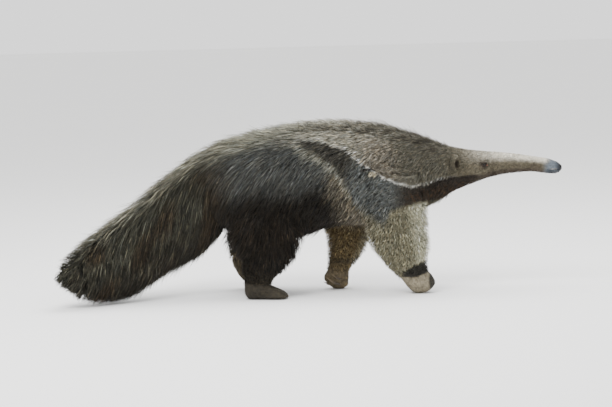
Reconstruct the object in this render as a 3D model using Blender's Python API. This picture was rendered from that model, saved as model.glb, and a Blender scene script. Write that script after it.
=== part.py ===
"""A life-size giant anteater in mid stride, as solid body parts.

The head points along +X and the right flank faces -Y. The floor is z = 0. The whole body, coat included,
is modelled in one piece and then parted with thin cuts at the neck, shoulders, hips, wrists, ankles and tail.
"""

import math
import random
from collections import namedtuple

import bmesh
import bpy
import numpy as np
from mathutils import Matrix, Vector

# Touching parts keep this gap.
GAP = 0.0003
# Half the side of the blocks that part the body.
FAR = 1.5
# The spine lies this far beside the middle of the whole outline, because the tail swings to the right.
SPINE_Y = 0.066

# Outline of the coat from nose to tail root, in upright sections across X: where, crown, underline,
# height of the widest place, half width, how much narrower the crown is, and the swing to the left.
Section = namedtuple("Section", "x top bottom wide half_width egg swing", defaults=[0.0])
TRUNK = [
    Section(0.907, 0.442, 0.424, 0.434, 0.008, 0.0),
    Section(0.899, 0.452, 0.413, 0.434, 0.017, 0.0),
    Section(0.880, 0.460, 0.409, 0.435, 0.021, 0.0),
    Section(0.850, 0.466, 0.411, 0.438, 0.0215, 0.0),
    Section(0.798, 0.475, 0.418, 0.446, 0.0235, 0.0),
    Section(0.745, 0.484, 0.416, 0.448, 0.028, 0.0),
    Section(0.690, 0.491, 0.410, 0.448, 0.034, 0.02),
    Section(0.640, 0.496, 0.399, 0.448, 0.040, 0.04),
    Section(0.590, 0.502, 0.382, 0.444, 0.047, 0.05),
    Section(0.546, 0.510, 0.366, 0.440, 0.053, 0.06),
    Section(0.500, 0.522, 0.345, 0.435, 0.060, 0.10),
    Section(0.450, 0.540, 0.318, 0.428, 0.069, 0.12),
    Section(0.400, 0.560, 0.296, 0.415, 0.080, 0.14),
    Section(0.331, 0.584, 0.270, 0.400, 0.098, 0.16),
    Section(0.260, 0.602, 0.248, 0.390, 0.116, 0.18),
    Section(0.188, 0.615, 0.238, 0.385, 0.128, 0.18),
    Section(0.116, 0.622, 0.232, 0.385, 0.136, 0.18),
    Section(0.043, 0.625, 0.228, 0.385, 0.141, 0.18),
    Section(-0.029, 0.624, 0.222, 0.385, 0.144, 0.18),
    Section(-0.100, 0.615, 0.222, 0.385, 0.152, 0.16),
    Section(-0.172, 0.594, 0.224, 0.390, 0.153, 0.12),
    Section(-0.244, 0.575, 0.230, 0.395, 0.142, 0.08),
    Section(-0.317, 0.553, 0.250, 0.400, 0.118, 0.04),
    Section(-0.360, 0.530, 0.280, 0.405, 0.090, 0.0),
    Section(-0.385, 0.500, 0.320, 0.410, 0.050, 0.0),
]
TRUNK_RINGS = 42
TRUNK_SIDES = 20

# The outline of the tail's hair.
TAIL = [
    Section(-0.200, 0.560, 0.300, 0.440, 0.085, 0.0, 0.000),
    Section(-0.290, 0.555, 0.240, 0.430, 0.100, 0.0, 0.000),
    Section(-0.345, 0.543, 0.188, 0.410, 0.105, 0.0, -0.004),
    Section(-0.390, 0.525, 0.145, 0.380, 0.104, 0.0, -0.012),
    Section(-0.445, 0.495, 0.117, 0.345, 0.100, 0.0, -0.026),
    Section(-0.500, 0.452, 0.094, 0.305, 0.096, 0.0, -0.046),
    Section(-0.560, 0.406, 0.058, 0.265, 0.094, 0.0, -0.072),
    Section(-0.620, 0.356, 0.022, 0.225, 0.092, 0.0, -0.102),
    Section(-0.680, 0.316, 0.000, 0.190, 0.090, 0.0, -0.136),
    Section(-0.740, 0.276, -0.006, 0.160, 0.088, 0.0, -0.172),
    Section(-0.800, 0.243, -0.006, 0.138, 0.084, 0.0, -0.208),
    Section(-0.850, 0.218, 0.000, 0.122, 0.070, 0.0, -0.236),
    Section(-0.885, 0.188, 0.030, 0.108, 0.045, 0.0, -0.254),
    Section(-0.903, 0.150, 0.068, 0.106, 0.016, 0.0, -0.262),
]
TAIL_RINGS = 20
TAIL_SIDES = 14

# Limbs: points down the middle of each limb with the half depth along the stride and the half width across.
Joint = namedtuple("Joint", "x y z half_depth half_width")
RIGHT_FORELEG = [
    Joint(0.290, -0.070, 0.420, 0.105, 0.050),
    Joint(0.300, -0.088, 0.320, 0.108, 0.056),
    Joint(0.308, -0.094, 0.240, 0.103, 0.058),
    Joint(0.316, -0.090, 0.187, 0.096, 0.056),
    Joint(0.326, -0.086, 0.151, 0.086, 0.052),
    Joint(0.338, -0.082, 0.108, 0.066, 0.045),
    Joint(0.354, -0.078, 0.079, 0.050, 0.038),
    Joint(0.368, -0.076, 0.060, 0.045, 0.036),
]
LEFT_FORELEG = [
    Joint(0.190, 0.070, 0.420, 0.100, 0.050),
    Joint(0.165, 0.086, 0.320, 0.096, 0.055),
    Joint(0.148, 0.090, 0.240, 0.086, 0.056),
    Joint(0.138, 0.088, 0.187, 0.072, 0.052),
    Joint(0.130, 0.085, 0.144, 0.060, 0.047),
    Joint(0.114, 0.080, 0.105, 0.045, 0.040),
    Joint(0.100, 0.077, 0.076, 0.036, 0.035),
    Joint(0.094, 0.076, 0.058, 0.036, 0.035),
]
RIGHT_HINDLEG = [
    Joint(-0.150, -0.060, 0.400, 0.105, 0.050),
    Joint(-0.152, -0.084, 0.300, 0.110, 0.050),
    Joint(-0.158, -0.112, 0.208, 0.110, 0.053),
    Joint(-0.165, -0.122, 0.160, 0.094, 0.052),
    Joint(-0.176, -0.124, 0.115, 0.066, 0.046),
    Joint(-0.188, -0.125, 0.080, 0.048, 0.039),
    Joint(-0.193, -0.125, 0.056, 0.045, 0.036),
]
LEFT_HINDLEG = [
    Joint(-0.155, 0.060, 0.400, 0.105, 0.050),
    Joint(-0.165, 0.084, 0.300, 0.106, 0.050),
    Joint(-0.182, 0.110, 0.225, 0.100, 0.053),
    Joint(-0.202, 0.122, 0.175, 0.078, 0.050),
    Joint(-0.226, 0.124, 0.140, 0.056, 0.043),
    Joint(-0.240, 0.125, 0.112, 0.044, 0.037),
]
LIMB_RINGS = 10
LIMB_SIDES = 12

# Feet: upright sections from heel to toe. The underside is flat where it meets the floor.
FootSection = namedtuple("FootSection", "x top bottom y half_width")
RIGHT_FOREFOOT = [
    FootSection(0.322, 0.078, 0.054, -0.078, 0.016),
    FootSection(0.334, 0.092, 0.030, -0.077, 0.030),
    FootSection(0.348, 0.097, 0.008, -0.077, 0.037),
    FootSection(0.362, 0.098, 0.000, -0.077, 0.040),
    FootSection(0.384, 0.094, -0.002, -0.077, 0.041),
    FootSection(0.404, 0.084, -0.001, -0.077, 0.039),
    FootSection(0.420, 0.071, 0.008, -0.078, 0.034),
    FootSection(0.432, 0.056, 0.018, -0.078, 0.025),
    FootSection(0.439, 0.044, 0.027, -0.078, 0.012),
]
LEFT_FOREFOOT = [
    FootSection(0.046, 0.052, 0.036, 0.074, 0.014),
    FootSection(0.054, 0.063, 0.025, 0.074, 0.026),
    FootSection(0.066, 0.078, 0.014, 0.075, 0.034),
    FootSection(0.080, 0.091, 0.003, 0.076, 0.038),
    FootSection(0.094, 0.097, -0.002, 0.077, 0.039),
    FootSection(0.108, 0.097, -0.002, 0.077, 0.037),
    FootSection(0.120, 0.090, 0.004, 0.077, 0.032),
    FootSection(0.129, 0.076, 0.018, 0.077, 0.024),
    FootSection(0.134, 0.062, 0.034, 0.077, 0.012),
]
RIGHT_HINDFOOT = [
    FootSection(-0.239, 0.050, 0.026, -0.125, 0.012),
    FootSection(-0.234, 0.062, 0.012, -0.125, 0.022),
    FootSection(-0.222, 0.075, 0.000, -0.125, 0.031),
    FootSection(-0.200, 0.080, -0.002, -0.125, 0.036),
    FootSection(-0.170, 0.066, -0.002, -0.127, 0.039),
    FootSection(-0.145, 0.050, -0.002, -0.129, 0.043),
    FootSection(-0.122, 0.039, -0.001, -0.130, 0.044),
    FootSection(-0.105, 0.031, 0.000, -0.131, 0.040),
    FootSection(-0.094, 0.024, 0.003, -0.131, 0.032),
    FootSection(-0.088, 0.017, 0.008, -0.131, 0.018),
]
LEFT_HINDFOOT = [
    FootSection(-0.287, 0.118, 0.098, 0.124, 0.010),
    FootSection(-0.281, 0.132, 0.080, 0.124, 0.022),
    FootSection(-0.268, 0.142, 0.056, 0.125, 0.031),
    FootSection(-0.250, 0.140, 0.034, 0.125, 0.036),
    FootSection(-0.230, 0.118, 0.016, 0.126, 0.038),
    FootSection(-0.210, 0.086, 0.003, 0.128, 0.041),
    FootSection(-0.190, 0.056, -0.002, 0.130, 0.044),
    FootSection(-0.172, 0.038, -0.001, 0.131, 0.041),
    FootSection(-0.160, 0.027, 0.002, 0.131, 0.032),
    FootSection(-0.154, 0.019, 0.007, 0.131, 0.018),
]
FOOT_RINGS = 9
FOOT_SIDES = 11

# Planes that part the body: a point on each and the direction across it.
Plane = namedtuple("Plane", "point across")
HEAD_PLANE = Plane((0.495, 0.0, 0.43), (1.0, 0.0, 0.0))
NECK_PLANE = Plane((0.390, 0.0, 0.43), (0.984, 0.0, 0.180))
TAIL_PLANE = Plane((-0.295, 0.0, 0.215), (-0.9728, 0.0, -0.2316))
FORELEG_PLANE = Plane((0.0, 0.03, 0.222), (0.0, 0.563, -0.826))
HINDLEG_PLANE = Plane((0.0, 0.03, 0.205), (0.0, 0.421, -0.907))
# How far each leg's block reaches along X.
LEG_REACH = {
    "foreleg_right": (0.150, 0.480),
    "foreleg_left": (0.050, 0.280),
    "hindleg_right": (-0.300, -0.020),
    "hindleg_left": (-0.300, -0.020),
}
FOOT_PLANE = {
    "foreleg_right": Plane((0.0, 0.0, 0.074), (0.0, 0.0, -1.0)),
    "foreleg_left": Plane((0.0, 0.0, 0.070), (0.0, 0.0, -1.0)),
    "hindleg_right": Plane((0.0, 0.0, 0.062), (0.0, 0.0, -1.0)),
    "hindleg_left": Plane((-0.235, 0.0, 0.125), (-0.516, 0.0, -0.856)),
}

# The floor, where the soles and the laid hair of the tail end in small flats.
FLOOR_PLANE = Plane((0.0, 0.0, -GAP / 2), (0.0, 0.0, -1.0))

# The long coat. The solid core under it goes half way to the tips of the hair.
COAT_X = (-0.385, -0.100, 0.050, 0.250, 0.450, 0.500)
COAT_DEPTH = (0.075, 0.075, 0.055, 0.030, 0.014, 0.0)
CORE_SHARE = 0.5
TAIL_CORE_CROWN = 0.70
TAIL_CORE_UNDER = 0.42
TAIL_CORE_SIDE = 0.60
TAIL_CORE_END = 0.86
THIGH_CORE = 0.80

# Rows of locks: where a row starts and ends along its form, how many locks, their angles from the crown
# on each side, how far a lock turns down and runs on from root to tip, and its width.
Rank = namedtuple("Rank", "start end count angles drop run width")
TRUNK_RANKS = [
    Rank(0.320, -0.290, 9, (0, 18), 1, -0.100, 0.040),
    Rank(0.000, -0.320, 6, (40, 66), 34, -0.072, 0.062),
    Rank(0.020, -0.315, 6, (92,), 32, -0.034, 0.066),
    Rank(0.035, -0.318, 6, (118,), 22, -0.016, 0.066),
    Rank(0.110, -0.005, 4, (150,), 10, -0.010, 0.050),
]
TAIL_RANKS = [
    Rank(-0.335, -0.785, 7, (0, 28), 3, -0.110, 0.054),
    Rank(-0.335, -0.790, 8, (60,), 30, -0.085, 0.066),
    Rank(-0.330, -0.795, 8, (94,), 30, -0.062, 0.068),
    Rank(-0.325, -0.800, 8, (128,), 22, -0.050, 0.066),
    Rank(-0.320, -0.805, 8, (156, 180), 2, -0.036, 0.058),
]
TAIL_TIP_RANK = Rank(-0.812, -0.806, 1, (0, 40, 80, 120, 160), 2, -0.082, 0.052)
# On a thigh the angles turn outwards from the front of the leg, and distances are shares of its length.
THIGH_RANKS = [
    Rank(0.28, 0.28, 1, (25, 70, 115), 0, 0.24, 0.062),
    Rank(0.40, 0.40, 1, (-50, 0, 45, 90, 135, 180), 0, 0.24, 0.056),
    Rank(0.55, 0.55, 1, (-30, 25, 70, 115, 160), 0, 0.22, 0.052),
]
# Hair on the front of the thigh hangs clear of the leg.
FRINGE_RANK = Rank(0.28, 0.50, 3, (-12, 14), 0, 0.18, 0.036)
LOCK_STATIONS = (0.0, 0.38, 0.76)
LOCK_BREADTH = (0.80, 1.0, 0.56)
LOCK_THICKNESS = 0.20
LOCK_SINK = 0.016
LOCK_LIFT = 0.10
LOCK_JITTER = 0.14
LOCK_SEED = 7
COAT_RINGS = 121
COAT_SIDES = 72

# Head details.
EYE = Vector((0.630, 0.0345, 0.453))
EYE_RADIUS = 0.0085
LID_THICKNESS = 0.0022
LID_OPENING = (0.0085, 0.0060, 0.0046)
EAR = Vector((0.527, 0.050, 0.470))
EAR_SIZE = (0.0125, 0.021, 0.028)
EAR_HOLLOW_SIZE = (0.0120, 0.0165, 0.0215)
EAR_HOLLOW_SHIFT = Vector((0.0070, 0.0075, 0.0010))
EAR_TILT = math.radians(-14)
MOUTH_CORNER = 0.857
MOUTH_HEIGHT = 0.4235
MOUTH_GAPE = 0.0014
LIP_RADIUS = 0.0024
LIP_RINGS = 13
NOSTRIL = Vector((0.9015, 0.0085, 0.4385))
NOSTRIL_RADIUS = 0.0042
BALL_SEGMENTS = 12
BALL_RINGS = 6

# Claws on a right foot, as offsets from the foot's own point, with +Y to the animal's left.
Claw = namedtuple("Claw", "root ahead curl length radius turn")
FORE_CLAWS = [
    Claw((0.020, 0.028, 0.054), (-0.76, 0.62, 0.10), (-0.3, -0.2, 0.9), 0.030, 0.0034, 0.7),
    Claw((0.022, 0.030, 0.039), (-0.82, 0.56, 0.06), (-0.3, -0.3, 0.9), 0.054, 0.0048, 0.9),
    Claw((0.016, 0.030, 0.022), (-0.84, 0.54, 0.04), (-0.3, -0.3, 0.9), 0.068, 0.0060, 0.9),
    Claw((-0.030, 0.026, 0.024), (-0.70, 0.70, 0.10), (-0.3, -0.2, 0.9), 0.026, 0.0032, 0.6),
]
FORE_CLAW_FOOT = {"right": (0.384, -0.077), "left": (0.088, 0.077)}
HIND_CLAWS = [
    Claw((-0.006, 0.030, 0.014), (0.96, 0.14, -0.08), (0.0, 0.0, -1.0), 0.020, 0.0030, 0.5),
    Claw((0.000, 0.016, 0.014), (0.98, 0.08, -0.06), (0.0, 0.0, -1.0), 0.023, 0.0032, 0.5),
    Claw((0.002, 0.001, 0.014), (1.00, 0.00, -0.06), (0.0, 0.0, -1.0), 0.024, 0.0033, 0.5),
    Claw((0.000, -0.014, 0.014), (0.98, -0.08, -0.06), (0.0, 0.0, -1.0), 0.023, 0.0032, 0.5),
    Claw((-0.007, -0.028, 0.014), (0.96, -0.14, -0.08), (0.0, 0.0, -1.0), 0.020, 0.0030, 0.5),
]
HIND_CLAW_FOOT = {"right": (-0.103, -0.131), "left": (-0.169, 0.131)}
CLAW_SIDES = 6
CLAW_RINGS = 4
CLAW_TIP = 0.12
CLAW_BREADTH = 0.8

FINISHES = {
    "grizzled": (0.20, 0.18, 0.15),
    "dark": (0.045, 0.040, 0.034),
    "pale": (0.33, 0.31, 0.26),
    "face": (0.38, 0.33, 0.28),
    "claw": (0.10, 0.085, 0.070),
    "eye": (0.010, 0.008, 0.007),
}
ROUGHNESS = {"eye": 0.15, "claw": 0.45}
COAT_ROUGHNESS = 0.85
SHARP_ANGLE = math.radians(40)


def clear_scene():
    """Removes whatever the file opened with."""
    for obj in list(bpy.data.objects):
        bpy.data.objects.remove(obj, do_unlink=True)


def new_collection(name):
    """A collection under the scene's own."""
    made = bpy.data.collections.new(name)
    bpy.context.scene.collection.children.link(made)
    return made


def new_material(name, colour, roughness):
    """A plain finish with one colour."""
    material = bpy.data.materials.new(name)
    material.use_nodes = True
    shader = material.node_tree.nodes["Principled BSDF"]
    shader.inputs["Base Color"].default_value = (*colour, 1.0)
    shader.inputs["Roughness"].default_value = roughness
    shader.inputs["Metallic"].default_value = 0.0
    return material


def spline(rows, count):
    """Rows of numbers read at count even steps along a Catmull-Rom curve through them."""
    rows = np.array(rows, float)
    rows = np.vstack([2 * rows[0] - rows[1], rows, 2 * rows[-1] - rows[-2]])
    at = np.linspace(0, len(rows) - 3, count)
    at = np.minimum(at, len(rows) - 3 - 1e-9)
    i = at.astype(int)
    t = (at - i)[:, None]
    a, b, c, d = rows[i], rows[i + 1], rows[i + 2], rows[i + 3]
    bend = 2 * a - 5 * b + 4 * c - d
    twist = 3 * b - a - 3 * c + d
    return 0.5 * (2 * b + (c - a) * t + bend * t**2 + twist * t**3)


def loft_object(name, rings, collection):
    """A closed body through rings of points, each end closed by a fan to its middle."""
    mesh = bmesh.new()
    made = [[mesh.verts.new(point) for point in ring] for ring in rings]
    sides = len(made[0])
    for low, high in zip(made, made[1:]):
        for i in range(sides):
            j = (i + 1) % sides
            mesh.faces.new((low[i], low[j], high[j], high[i]))
    for ring in (made[0], made[-1]):
        middle = mesh.verts.new(sum((v.co for v in ring), Vector()) / sides)
        for i in range(sides):
            mesh.faces.new((ring[i], ring[(i + 1) % sides], middle))
    bmesh.ops.recalc_face_normals(mesh, faces=mesh.faces)
    data = bpy.data.meshes.new(name)
    mesh.to_mesh(data)
    mesh.free()
    obj = bpy.data.objects.new(name, data)
    collection.objects.link(obj)
    return obj


def upright_rings(rows, sides):
    """Rings in upright planes across X from rows of section numbers, each an egg."""
    angle = np.linspace(0, 2 * math.pi, sides, endpoint=False)
    sine, cosine = np.sin(angle), np.cos(angle)
    rings = []
    for x, top, bottom, wide, half_width, egg, swing in rows:
        y = swing + half_width * sine * (1 - egg * cosine)
        z = wide + np.where(cosine > 0, top - wide, wide - bottom) * cosine
        rings.append(np.stack([np.full(sides, x), y, z], axis=1))
    return rings


def limb_rings(rows, sides):
    """Rings square to the path of a limb. The first radius runs along the stride, the second across it."""
    centre = rows[:, :3]
    along = np.gradient(centre, axis=0)
    along /= np.linalg.norm(along, axis=1)[:, None]
    across = np.array([0.0, 1.0, 0.0]) - along * along[:, 1:2]
    across /= np.linalg.norm(across, axis=1)[:, None]
    stride = np.cross(across, along)
    angle = np.linspace(0, 2 * math.pi, sides, endpoint=False)
    rings = []
    for c, s, a, depth, width in zip(centre, stride, across, rows[:, 3], rows[:, 4]):
        rings.append(c + np.outer(np.cos(angle) * depth, s) + np.outer(np.sin(angle) * width, a))
    return rings


def foot_rings(rows, sides):
    """Upright rings of a foot, widest a third of the way up."""
    x, top, bottom, y, half_width = rows.T
    wide = bottom + (top - bottom) / 3
    return upright_rings(np.stack([x, top, bottom, wide, half_width, 0 * x, y], axis=1), sides)


def trunk_core(rows):
    """The trunk's sections without the outer half of the long coat."""
    rows = rows.copy()
    depth = CORE_SHARE * np.interp(rows[:, 0], COAT_X, COAT_DEPTH)
    rows[:, 1] -= depth
    rows[:, 2] += depth
    rows[:, 4] -= depth * np.minimum(1, rows[:, 4] / COAT_DEPTH[0])
    return rows


def tail_core(rows):
    """The tail's sections without the outer half of its hair, which hangs furthest below."""
    rows = rows.copy()
    middle = rows[:, 3]
    rows[:, 1] = middle + TAIL_CORE_CROWN * (rows[:, 1] - middle)
    rows[:, 2] = middle + TAIL_CORE_UNDER * (rows[:, 2] - middle)
    rows[:, 4] *= TAIL_CORE_SIDE
    return rows


def limb_core(rows):
    """A thigh without its outer hair."""
    rows = rows.copy()
    rows[:, 3:5] *= THIGH_CORE
    return rows


def apply_boolean(obj, operation, other):
    """Joins, cuts or crosses a mesh object with another object or with all of a collection.

    The MANIFOLD solver is used because EXACT loses whole pieces of this body at its thin cuts.
    """
    modifier = obj.modifiers.new("join" if operation == "UNION" else "cut", "BOOLEAN")
    modifier.operation = operation
    modifier.solver = "MANIFOLD"
    if isinstance(other, bpy.types.Collection):
        modifier.operand_type = "COLLECTION"
        modifier.collection = other
    else:
        modifier.object = other
    graph = bpy.context.evaluated_depsgraph_get()
    mesh = bpy.data.meshes.new_from_object(obj.evaluated_get(graph))
    obj.modifiers.clear()
    old = obj.data
    obj.data = mesh
    bpy.data.meshes.remove(old)


def remove_objects(objects):
    """Removes helper objects."""
    for obj in list(objects):
        bpy.data.objects.remove(obj, do_unlink=True)


def keep_largest(obj):
    """Leaves only the largest closed surface of a mesh object."""
    mesh = bmesh.new()
    mesh.from_mesh(obj.data)
    left = set(mesh.verts)
    shells = []
    while left:
        reached = [left.pop()]
        shell = set(reached)
        while reached:
            for edge in reached.pop().link_edges:
                for vert in edge.verts:
                    if vert in left:
                        left.remove(vert)
                        shell.add(vert)
                        reached.append(vert)
        shells.append(shell)

    def bulk(shell):
        low = [min(v.co[i] for v in shell) for i in range(3)]
        high = [max(v.co[i] for v in shell) for i in range(3)]
        return math.prod(b - a for a, b in zip(low, high))

    shells.sort(key=bulk)
    for shell in shells[:-1]:
        bmesh.ops.delete(mesh, geom=list(shell), context="VERTS")
    mesh.to_mesh(obj.data)
    mesh.free()


def block(name, planes, helpers, grow):
    """Everything behind each plane, as one big convex block with its faces moved outwards by grow."""
    mesh = bmesh.new()
    bmesh.ops.create_cube(mesh, size=2 * FAR)
    for plane in planes:
        across = Vector(plane.across).normalized()
        bmesh.ops.bisect_plane(
            mesh,
            geom=mesh.verts[:] + mesh.edges[:] + mesh.faces[:],
            plane_co=Vector(plane.point) + across * grow,
            plane_no=across,
            clear_outer=True,
        )
        bmesh.ops.holes_fill(mesh, edges=[edge for edge in mesh.edges if edge.is_boundary])
    bmesh.ops.recalc_face_normals(mesh, faces=mesh.faces)
    data = bpy.data.meshes.new(name)
    mesh.to_mesh(data)
    mesh.free()
    obj = bpy.data.objects.new(name, data)
    obj.hide_render = True
    obj.display_type = "WIRE"
    helpers.objects.link(obj)
    return obj


def turned(plane):
    """The same plane, facing the other way."""
    return Plane(plane.point, tuple(-value for value in plane.across))


def mirrored(plane):
    """The plane on the animal's right that matches one on its left."""
    (x, y, z), (across_x, across_y, across_z) = plane
    return Plane((x, -y, z), (across_x, -across_y, across_z))


def leg_planes(name):
    """The planes that bound a leg and its foot."""
    plane = FORELEG_PLANE if name.startswith("fore") else HINDLEG_PLANE
    behind, ahead = LEG_REACH[name]
    middle = Plane((0.0, 0.0, 0.0), (0.0, -1.0, 0.0))
    if name.endswith("right"):
        plane = mirrored(plane)
        middle = turned(middle)
    return [
        turned(plane),
        middle,
        Plane((ahead, 0.0, 0.0), (1.0, 0.0, 0.0)),
        Plane((behind, 0.0, 0.0), (-1.0, 0.0, 0.0)),
    ]


def part_of(body, name, planes, cuts, parts, helpers, locks=None):
    """One node: what the body and these locks hold behind all the planes and outside the cutting blocks."""
    obj = body.copy()
    obj.data = body.data.copy()
    obj.name = name
    parts.objects.link(obj)
    if locks and locks.objects:
        apply_boolean(obj, "UNION", locks)
        remove_objects(locks.objects)
    region = block(name + "_region", planes + [FLOOR_PLANE], helpers, -GAP / 2)
    apply_boolean(obj, "INTERSECT", region)
    for i, cut in enumerate(cuts):
        apply_boolean(obj, "DIFFERENCE", block(f"{name}_cut_{i}", cut, helpers, GAP / 2))
    remove_objects(helpers.objects)
    keep_largest(obj)
    return obj


def ball(name, place, radii, collection, tilt=0.0):
    """An ellipsoid with the given half sizes, leaning about X by tilt."""
    mesh = bmesh.new()
    bmesh.ops.create_uvsphere(mesh, u_segments=BALL_SEGMENTS, v_segments=BALL_RINGS, radius=1.0)
    turn = Matrix.Rotation(tilt, 4, "X") @ Matrix.Diagonal((*radii, 1.0))
    bmesh.ops.transform(mesh, matrix=Matrix.Translation(place) @ turn, verts=mesh.verts)
    data = bpy.data.meshes.new(name)
    mesh.to_mesh(data)
    mesh.free()
    obj = bpy.data.objects.new(name, data)
    collection.objects.link(obj)
    return obj


def on_side(point, side):
    """A point named for the animal's left, moved to the side asked for: 1 is left and -1 is right."""
    return Vector((point[0], side * point[1], point[2]))


def add_lips(head, helpers):
    """A thin roll round the tip of the snout at the height of the mouth."""
    sections = spline(TRUNK, TRUNK_RINGS * 4)[::-1]
    share = np.sin(np.linspace(0, math.pi / 2, LIP_RINGS // 2 + 1))
    path_x = MOUTH_CORNER + (TRUNK[0].x - MOUTH_CORNER) * share
    bottom, wide, half_width = (np.interp(path_x, sections[:, 0], sections[:, i]) for i in (2, 3, 4))
    down = np.clip((wide - MOUTH_HEIGHT) / (wide - bottom), 0, 1)
    path_y = half_width * np.sqrt(1 - down**2)
    right = np.stack([path_x, -path_y, np.full_like(path_x, MOUTH_HEIGHT)], axis=1)
    left = (right * (1, -1, 1))[::-1]
    path = np.vstack([right[:-1], (right[-1:] + left[:1]) / 2, left[1:]])
    along = np.gradient(path, axis=0)
    along /= np.linalg.norm(along, axis=1)[:, None]
    aside = np.cross(along, (0, 0, 1))
    angle = np.linspace(0, 2 * math.pi, CLAW_SIDES, endpoint=False)
    taper = LIP_RADIUS * np.sin(np.linspace(0.15, math.pi - 0.15, len(path))) ** 0.5
    rings = [
        centre + radius * (np.outer(np.cos(angle), out) + np.outer(np.sin(angle), (0, 0, 1)))
        for centre, out, radius in zip(path, aside, taper)
    ]
    apply_boolean(head, "UNION", loft_object("lips", rings, helpers))
    remove_objects(helpers.objects)


def carve_mouth(head, helpers):
    """The closed line of the mouth, and the nostrils."""
    gape = block(
        "gape",
        [
            Plane((MOUTH_CORNER + LIP_RADIUS, 0, 0), (-1, 0, 0)),
            Plane((0, 0, MOUTH_HEIGHT), (0, 0, 1)),
            Plane((0, 0, MOUTH_HEIGHT), (0, 0, -1)),
        ],
        helpers,
        MOUTH_GAPE / 2,
    )
    apply_boolean(head, "DIFFERENCE", gape)
    for side in (-1, 1):
        dent = ball("dent", on_side(NOSTRIL, side), (NOSTRIL_RADIUS,) * 3, helpers)
        apply_boolean(head, "DIFFERENCE", dent)
    remove_objects(helpers.objects)


def add_eyes(head, parts, helpers):
    """Each eyeball in its socket, under lids with an almond opening."""
    for side, word in ((-1, "right"), (1, "left")):
        place = on_side(EYE, side)
        lid = ball("lid", place, (EYE_RADIUS + LID_THICKNESS,) * 3, helpers)
        apply_boolean(head, "UNION", lid)
        front = place + Vector((0.0, side * EYE_RADIUS, 0.0))
        apply_boolean(head, "DIFFERENCE", ball("opening", front, LID_OPENING, helpers))
        apply_boolean(head, "DIFFERENCE", ball("socket", place, (EYE_RADIUS + GAP,) * 3, helpers))
        remove_objects(helpers.objects)
        ball("eye_" + word, place, (EYE_RADIUS,) * 3, parts)


def add_ears(head, parts, helpers):
    """Each ear is a small upright cup that opens forwards and outwards, seated in the head."""
    for side, word in ((-1, "right"), (1, "left")):
        place = on_side(EAR, side)
        tilt = side * EAR_TILT
        seat = [size + GAP for size in EAR_SIZE]
        apply_boolean(head, "DIFFERENCE", ball("seat", place, seat, helpers, tilt))
        ear = ball("ear_" + word, place, EAR_SIZE, parts, tilt)
        hollow = ball("hollow", place + on_side(EAR_HOLLOW_SHIFT, side), EAR_HOLLOW_SIZE, helpers, tilt)
        apply_boolean(ear, "DIFFERENCE", hollow)
        remove_objects(helpers.objects)


def claw_rings(claw, place, side, grow):
    """Rings along the arc of a claw, from its root to its narrow tip, each thicker by grow."""
    ahead = on_side(claw.ahead, side).normalized()
    curl = on_side(claw.curl, side)
    curl = (curl - ahead * curl.dot(ahead)).normalized()
    across = ahead.cross(curl)
    angle = np.linspace(0, 2 * math.pi, CLAW_SIDES, endpoint=False)
    rings = []
    for step in np.linspace(0, 1, CLAW_RINGS):
        turn = claw.turn * step
        run = claw.length / claw.turn
        centre = place + ahead * (run * math.sin(turn)) + curl * (run * (1 - math.cos(turn)))
        if step == 0:
            centre = centre - ahead * grow
        up = curl * math.cos(turn) - ahead * math.sin(turn)
        radius = claw.radius * (1 - (1 - CLAW_TIP) * step**1.5) + grow
        broad = CLAW_BREADTH * radius
        rings.append([centre + up * (radius * math.cos(a)) + across * (broad * math.sin(a)) for a in angle])
    return rings


def add_claws(foot, word, claws, origin, side, parts, helpers):
    """The claws of one foot, each seated in a socket of its own."""
    x, y = origin
    for i, claw in enumerate(claws):
        place = Vector((x, y, 0.0)) + on_side(claw.root, -side)
        name = f"claw_{foot.name.split('foot')[0]}_{word}_{i + 1}"
        loft_object(name, claw_rings(claw, place, -side, 0.0), parts)
        socket = loft_object("socket", claw_rings(claw, place, -side, GAP), helpers)
        apply_boolean(foot, "DIFFERENCE", socket)
        remove_objects(helpers.objects)


class Coat:
    """The core of a hairy form and the outline of its hair, as two grids of points."""

    def __init__(self, core, outline, places):
        self.core = np.array(core)
        self.outline = np.array(outline)
        self.places = places

    def at(self, place, angle, share):
        """The point at a place along the form and an angle round it, from the core (0) to the outline (1)."""
        ring = np.interp(place, self.places, np.arange(len(self.places)))
        side = angle / 360 * self.core.shape[1]
        low, left = int(ring), math.floor(side)
        high = min(low + 1, len(self.places) - 1)
        point = 0
        for i, weight in ((low, 1 - ring + low), (high, ring - low)):
            for j, part in ((left, 1 - side + left), (left + 1, side - left)):
                k = j % self.core.shape[1]
                mixed = (1 - share) * self.core[i, k] + share * self.outline[i, k]
                point = point + weight * part * mixed
        return Vector(point)


def lock(name, root, bend, tip, out, width, collection):
    """A flat tapered lock of hair along a bent path, its flat side to the body and a low ridge outside."""
    rings = []
    for t, breadth in zip(LOCK_STATIONS, LOCK_BREADTH):
        point = (1 - t) ** 2 * root + 2 * t * (1 - t) * bend + t**2 * tip
        along = (1 - t) * (bend - root) + t * (tip - bend)
        across = along.cross(out).normalized()
        ridge = across.cross(along).normalized()
        half = width * breadth / 2
        top = point + ridge * (2 * half * LOCK_THICKNESS)
        rings.append([point - across * half, point + across * half, top])
    mesh = bmesh.new()
    made = [[mesh.verts.new(point) for point in ring] for ring in rings]
    end = mesh.verts.new(tip)
    for low, high in zip(made, made[1:]):
        for i in range(3):
            j = (i + 1) % 3
            mesh.faces.new((low[i], low[j], high[j], high[i]))
    mesh.faces.new(made[0][::-1])
    for i in range(3):
        mesh.faces.new((made[-1][i], made[-1][(i + 1) % 3], end))
    bmesh.ops.recalc_face_normals(mesh, faces=mesh.faces)
    data = bpy.data.meshes.new(name)
    mesh.to_mesh(data)
    mesh.free()
    collection.objects.link(bpy.data.objects.new(name, data))


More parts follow.
